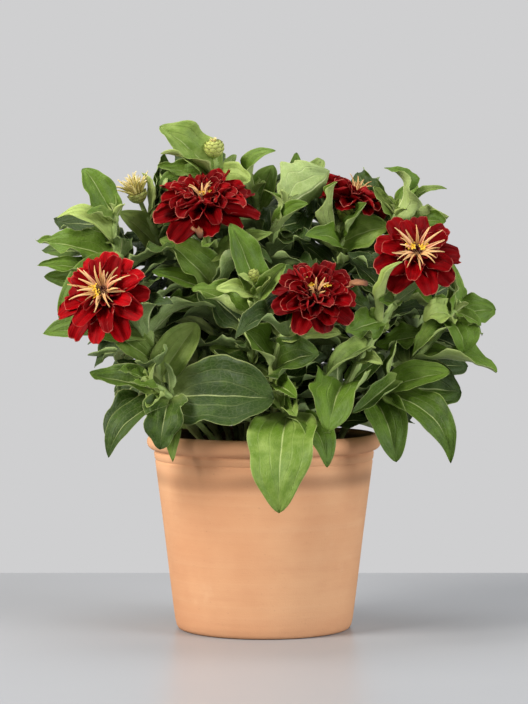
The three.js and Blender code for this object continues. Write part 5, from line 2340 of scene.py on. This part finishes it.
@dataclass
class ClayPot:
    """The thrown clay pot, with a rolled bead at its rim and a drain hole in its floor."""

    sides: int = 144
    profile: list[tuple[float, float]] = field(default_factory=list)

    def __post_init__(self) -> None:
        """Draws the profile from the foot up the wall, over the rim, down inside and out by the drain."""
        bead = [(NECK_RADIUS, BEAD_FOOT - 2.2), (NECK_RADIUS - 0.7, BEAD_FOOT - 1.2),
                (NECK_RADIUS - 0.5, BEAD_FOOT)]
        middle, half = (POT_HEIGHT + BEAD_FOOT) / 2, (POT_HEIGHT - BEAD_FOOT) / 2
        bulge = RIM_RADIUS - NECK_RADIUS + 1.2
        for angle in np.linspace(-1.25, 1.57, 15):
            bead.append((RIM_RADIUS - bulge * (1 - math.cos(angle)), middle + half * math.sin(angle)))
        wall = [(BASE_RADIUS - 4, 0), (BASE_RADIUS - 1.4, 0.9), (BASE_RADIUS - 0.1, 3.2)]
        slope = (NECK_RADIUS - BASE_RADIUS) / BEAD_FOOT
        wall += [(BASE_RADIUS + slope * z, z) for z in np.linspace(8, 143, 22)]
        wall += [(BASE_RADIUS + slope * z + out, z) for z, out in (
            (144.0, -0.1), (144.5, -0.35), (145.0, -0.4), (145.5, -0.1), (146.4, 0.2), (149.0, 0.2))]
        inner = RIM_RADIUS - WALL - 1.5
        lip = [(inner + 3.2, POT_HEIGHT - 0.3), (inner + 1.2, POT_HEIGHT - 1.8), (inner, POT_HEIGHT - 5)]
        low = [(inner_radius(z), z) for z in np.linspace(BEAD_FOOT, FLOOR + 6, 10)]
        low += [(inner_radius(FLOOR) - 5, FLOOR), (DRAIN_RADIUS + 1, FLOOR)]
        drain = [(DRAIN_RADIUS, FLOOR - 1), (DRAIN_RADIUS, 1), (DRAIN_RADIUS + 1, 0)]
        self.profile = [*wall, *bead, *lip, *low, *drain]

    def build(self, finish: Material) -> None:
        """Makes the pot's piece.

        Args:
            finish: Its material.
        """
        draft = Draft()
        radii, heights = (np.array(part, float) for part in zip(*self.profile))
        angle = np.arange(self.sides) * TAU / self.sides
        wobble = 0.35 * np.sin(2 * angle + 0.6) + 0.2 * np.sin(5 * angle)
        lines = 0.12 * np.sin(heights * 1.9) * (heights > 8) * (heights < BEAD_FOOT - 6)
        radius = (radii + lines)[:, None] + wobble[None, :] * (heights > 1)[:, None]
        points = np.stack([radius * np.cos(angle), radius * np.sin(angle),
                           np.broadcast_to(heights[:, None], radius.shape)], 2).reshape(-1, 3)
        blank = np.zeros((len(points), 3))
        draft.add(points, tube_faces(len(heights), self.sides, is_ring=True), blank, blank)
        draft.piece("clay_pot", finish, "clay", ["pot"])


def inner_radius(height: float) -> float:
    """Returns the radius of the pot's inside at a height."""
    return BASE_RADIUS - WALL + (NECK_RADIUS - BASE_RADIUS) * height / BEAD_FOOT


@dataclass
class SoilBed:
    """The soil: a lumpy bed with loose crumbs and shreds of bark."""

    rings: int = 34
    sides: int = 96
    crumbs: int = 900
    golden_turn: float = 2.39996

    def height_at(self, x: Array, y: Array) -> Array:
        """Raises the bed into soft lumps.

        Args:
            x: Places across.
            y: Places in depth.

        Returns:
            The heights there, in millimetres.
        """
        edge = inner_radius(SOIL_TOP)
        inside = (1 - (np.hypot(x, y) / edge) ** 4).clip(0)
        lumps = np.sin(x * 0.21 + 1) * np.cos(y * 0.17 + 2) + 0.5 * np.sin(x * 0.53 + y * 0.31)
        fine = 0.5 * np.sin(x * 1.3 + 0.4 * y) * np.cos(y * 1.1 - 0.3 * x)
        return SOIL_TOP - 1.4 + (1.1 * lumps + 0.7 * fine + 2.2) * inside

    def build(self, finish: Material) -> None:
        """Makes the soil's piece.

        Args:
            finish: Its material.
        """
        draft = Draft()
        edge = inner_radius(SOIL_TOP) - 0.3
        angle = np.arange(self.sides) * TAU / self.sides
        foot = inner_radius(FLOOR) - 5.5
        low = [(foot, FLOOR + 0.3), (inner_radius(FLOOR + 6) - 0.3, FLOOR + 6)]
        rows = [np.stack([r * np.cos(angle), r * np.sin(angle), np.full(self.sides, z)], 1) for r, z in low]
        for r in np.linspace(edge, 1.5, self.rings):
            x, y = r * np.cos(angle), r * np.sin(angle)
            rows.append(np.stack([x, y, self.height_at(x, y)], 1))
        points = np.concatenate([*rows, [[0, 0, FLOOR + 0.3], [0, 0, float(self.height_at(0.0, 0.0))]]])
        faces = np.concatenate([tube_faces(len(rows), self.sides), cap_faces(len(rows), self.sides)])
        blank = np.zeros((len(points), 3))
        draft.add(points, faces, blank, blank)
        for k in range(self.crumbs):
            self.add_crumb(draft, k)
        draft.piece("soil_bed", finish, "earth", ["soil"])

    def add_crumb(self, draft: Draft, k: int) -> None:
        """Adds one crumb, or now and then a shred of bark.

        Args:
            draft: Where it goes.
            k: Its number.
        """
        radius = (inner_radius(SOIL_TOP) - 5) * math.sqrt(chance(k + 0.5))
        angle = k * self.golden_turn
        x, y = radius * math.cos(angle), radius * math.sin(angle)
        size = between(0.8, 2.3, k + 0.1)
        stretch = between(2.2, 4.0, k + 0.2) if k % 9 == 0 else 1.2
        corners = np.array([[1, 0, 0], [0, 1, 0], [-1, 0, 0], [0, -1, 0], [0, 0, 1], [0, 0, -1]], float)
        jitter = np.array([[between(-0.3, 0.3, k + 7 * i + a) for a in range(3)] for i in range(6)])
        shape = turned((corners + jitter) * size * [stretch, 0.8, 0.6], UP, 360 * chance(k + 0.3))
        height = float(self.height_at(np.array(x), np.array(y))) + size * 0.25
        triangles = np.array([[0, 1, 4, 4], [1, 2, 4, 4], [2, 3, 4, 4], [3, 0, 4, 4],
                              [1, 0, 5, 5], [2, 1, 5, 5], [3, 2, 5, 5], [0, 3, 5, 5]])
        marks = np.tile([0, 0, chance(k + 0.4)], (6, 1))
        draft.add(shape + [x, y, height], triangles, marks, np.zeros((6, 3)))


@dataclass
class DriedPetals:
    """Dried petals that hang on two of the blooms, each (seen root, seen tip, width, habit)."""

    petals: tuple[tuple[Place, Place, float, Bend], ...] = (
        ((68, 287, -96), (89, 291, -100), 9, TWISTED),
        ((-62, 340, -40), (-55, 331, -48), 10, HOOKED))

    def build(self, finish: Material) -> None:
        """Makes their piece.

        Args:
            finish: Its material.
        """
        draft = Draft()
        for root, tip, width, bend in self.petals:
            blade = Blade(seen(root), seen(tip), UP, width, Outline.PETAL, bend.value, 1.0, thickness=0.4,
                          frill=0.3)
            draft.add_blade(blade, 16, 9)
        draft.piece("dried_petals", finish, "petal", [])


@dataclass(frozen=True)
class Lamp:
    """A square soft light: its place and what it looks at, its side in metres, its watts and its colour."""

    name: str
    place: Place
    target: Place
    size: float
    power: float
    colour: Colour

    def hang(self) -> None:
        """Adds the light to the scene."""
        data = bpy.data.lights.new(self.name, "AREA")
        data.size = self.size
        data.energy = self.power
        data.color = self.colour
        lamp = added(self.name, data)
        lamp.location = self.place
        lamp.rotation_euler = (Vector(self.target) - Vector(self.place)).to_track_quat("-Z", "Y").to_euler()


LAMPS = (
    Lamp("key", (-2.0, -1.3, 1.6), (0, 0, 0.25), 1.2, 111, (1.0, 0.97, 0.92)),
    Lamp("fill", (1.9, -1.2, 1.1), (0, 0, 0.2), 1.2, 50, (0.95, 0.98, 1.0)),
    Lamp("front", (0.3, -2.7, 0.45), (0, 0, 0.2), 1.6, 4, (1.0, 1.0, 1.0)),
    Lamp("top", (-0.2, 0.4, 2.2), (0, 0, 0.3), 1.0, 20, (1.0, 1.0, 1.0)),
)


@dataclass
class Studio:
    """The pale floor, the grey surroundings and the camera.

    Ambient and mirrored are the surroundings' strength as light and in reflections. The floor ends where
    its edge is seen as the horizon. Lengths of the floor are in metres.
    """

    surroundings: Colour = rgb(207, 207, 208)
    ambient: float = 0.2
    mirrored: float = 0.92
    floor_reach: float = 4.0
    floor_end: float = 0.361
    floor_depth: float = 0.02
    lens: float = 125.6
    pitch: float = 2.2

    def add_floor(self, finish: Material) -> None:
        """Lays the floor.

        Args:
            finish: Its material.
        """
        mesh = bpy.data.meshes.new("floor")
        reach, end = self.floor_reach, self.floor_end
        corners = [(-reach, -reach, 0), (reach, -reach, 0), (reach, end, 0), (-reach, end, 0)]
        corners += [(x, y, -self.floor_depth) for x, y, _ in corners]
        sides = [(i, i + 4, (i + 1) % 4 + 4, (i + 1) % 4) for i in range(4)]
        mesh.from_pydata(corners, [], [(0, 1, 2, 3), (7, 6, 5, 4), *sides])
        mesh.materials.append(finish)
        added("floor", mesh)

    def world(self) -> bpy.types.World:
        """Makes the surroundings: seen as a pale backdrop, and dimmer as light and in reflections.

        Returns:
            The world.
        """
        world = bpy.data.worlds.new("surroundings")
        world.use_nodes = True
        graph = Graph(world.node_tree)
        background = graph.nodes["Background"]
        background.inputs["Color"].default_value = self.surroundings
        dimmed = []
        for kind, share in (("Is Diffuse Ray", self.ambient), ("Is Glossy Ray", self.mirrored)):
            is_kind = graph.node("ShaderNodeLightPath", {}, {}, kind)
            ends = {"Value": is_kind, "To Min": 1.0, "To Max": share}
            dimmed.append(graph.node("ShaderNodeMapRange", {}, ends))
        strength = dimmed[0] * dimmed[1]
        graph.links.new(strength.socket, background.inputs["Strength"])
        return world

    def add_camera(self) -> None:
        """Sets the camera at the viewer's eye."""
        data = bpy.data.cameras.new("camera")
        data.lens = self.lens
        data.sensor_fit = "VERTICAL"
        data.sensor_height = 36
        data.clip_end = 20
        camera = added("camera", data)
        camera.location = (0, -VIEW_DISTANCE * MM, EYE_HEIGHT * MM)
        camera.rotation_euler = (math.radians(90 - self.pitch), 0, 0)
        bpy.context.scene.camera = camera

    def build(self, floor: Material) -> None:
        """Sets up everything round the plant.

        Args:
            floor: The floor's material.
        """
        self.add_floor(floor)
        for lamp in LAMPS:
            lamp.hang()
        bpy.context.scene.world = self.world()
        bpy.context.scene.view_settings.view_transform = "Standard"
        self.add_camera()


def main() -> None:
    """Builds every piece in order and logs how many leaves the plant has."""
    logging.basicConfig(level=logging.INFO, format="%(message)s")
    leaf, stalk, scale = LeafFinish().build(), StalkFinish().build(), ScaleFinish().build()
    young_scale, young_quill = YOUNG_SCALE.build(), YOUNG_QUILL.build()
    petal, quill, star, heart = PetalFinish().build(), QuillFinish().build(), STAR.build(), HEART.build()
    ClayPot().build(ClayFinish().build())
    SoilBed().build(SoilFinish().build())
    thicket = Thicket()
    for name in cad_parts:
        if not name.endswith("_leaves"):
            thicket.add_node(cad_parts[name])
    stems = [LeafyStem(plan, index, thicket) for index, plan in enumerate(STEMS)]
    found = sum(stem.read_solids() for stem in stems)
    LOG.info("leaves of the solids: %d", found)
    for stem in stems:
        thicket.add_mesh(*stem.stalk_probe())
    for stem in stems:
        stem.ease_leaves()
    for stem in stems:
        stem.add_small_leaves()
    for step, longest in ((26.0, 92.0), (13.0, 76.0)):
        for stem in stems:
            stem.add_filling(step, longest)
    LOG.info("leaves that close gaps: %d", Filling(stems, thicket).close())
    LOG.info("leaves in all: %d", sum(len(stem.blades) for stem in stems))
    for stem in stems:
        stem.build(leaf, stalk)
        if stem.plan.bud:
            Bud.on_stem(stem).build(young_scale, young_quill)
        if stem.plan.bloom:
            bloom = Bloom.from_plan(stem.plan.bloom)
            bloom.build_petals(petal)
            bloom.build_quills(quill)
            bloom.build_heart(heart)
            bloom.build_stars(star)
            bloom.build_cup(scale, stem.plan.name)
    DriedPetals().build(DRIED.build())
    Studio().build(FloorFinish().build())


if __name__ == "__main__":
    main()
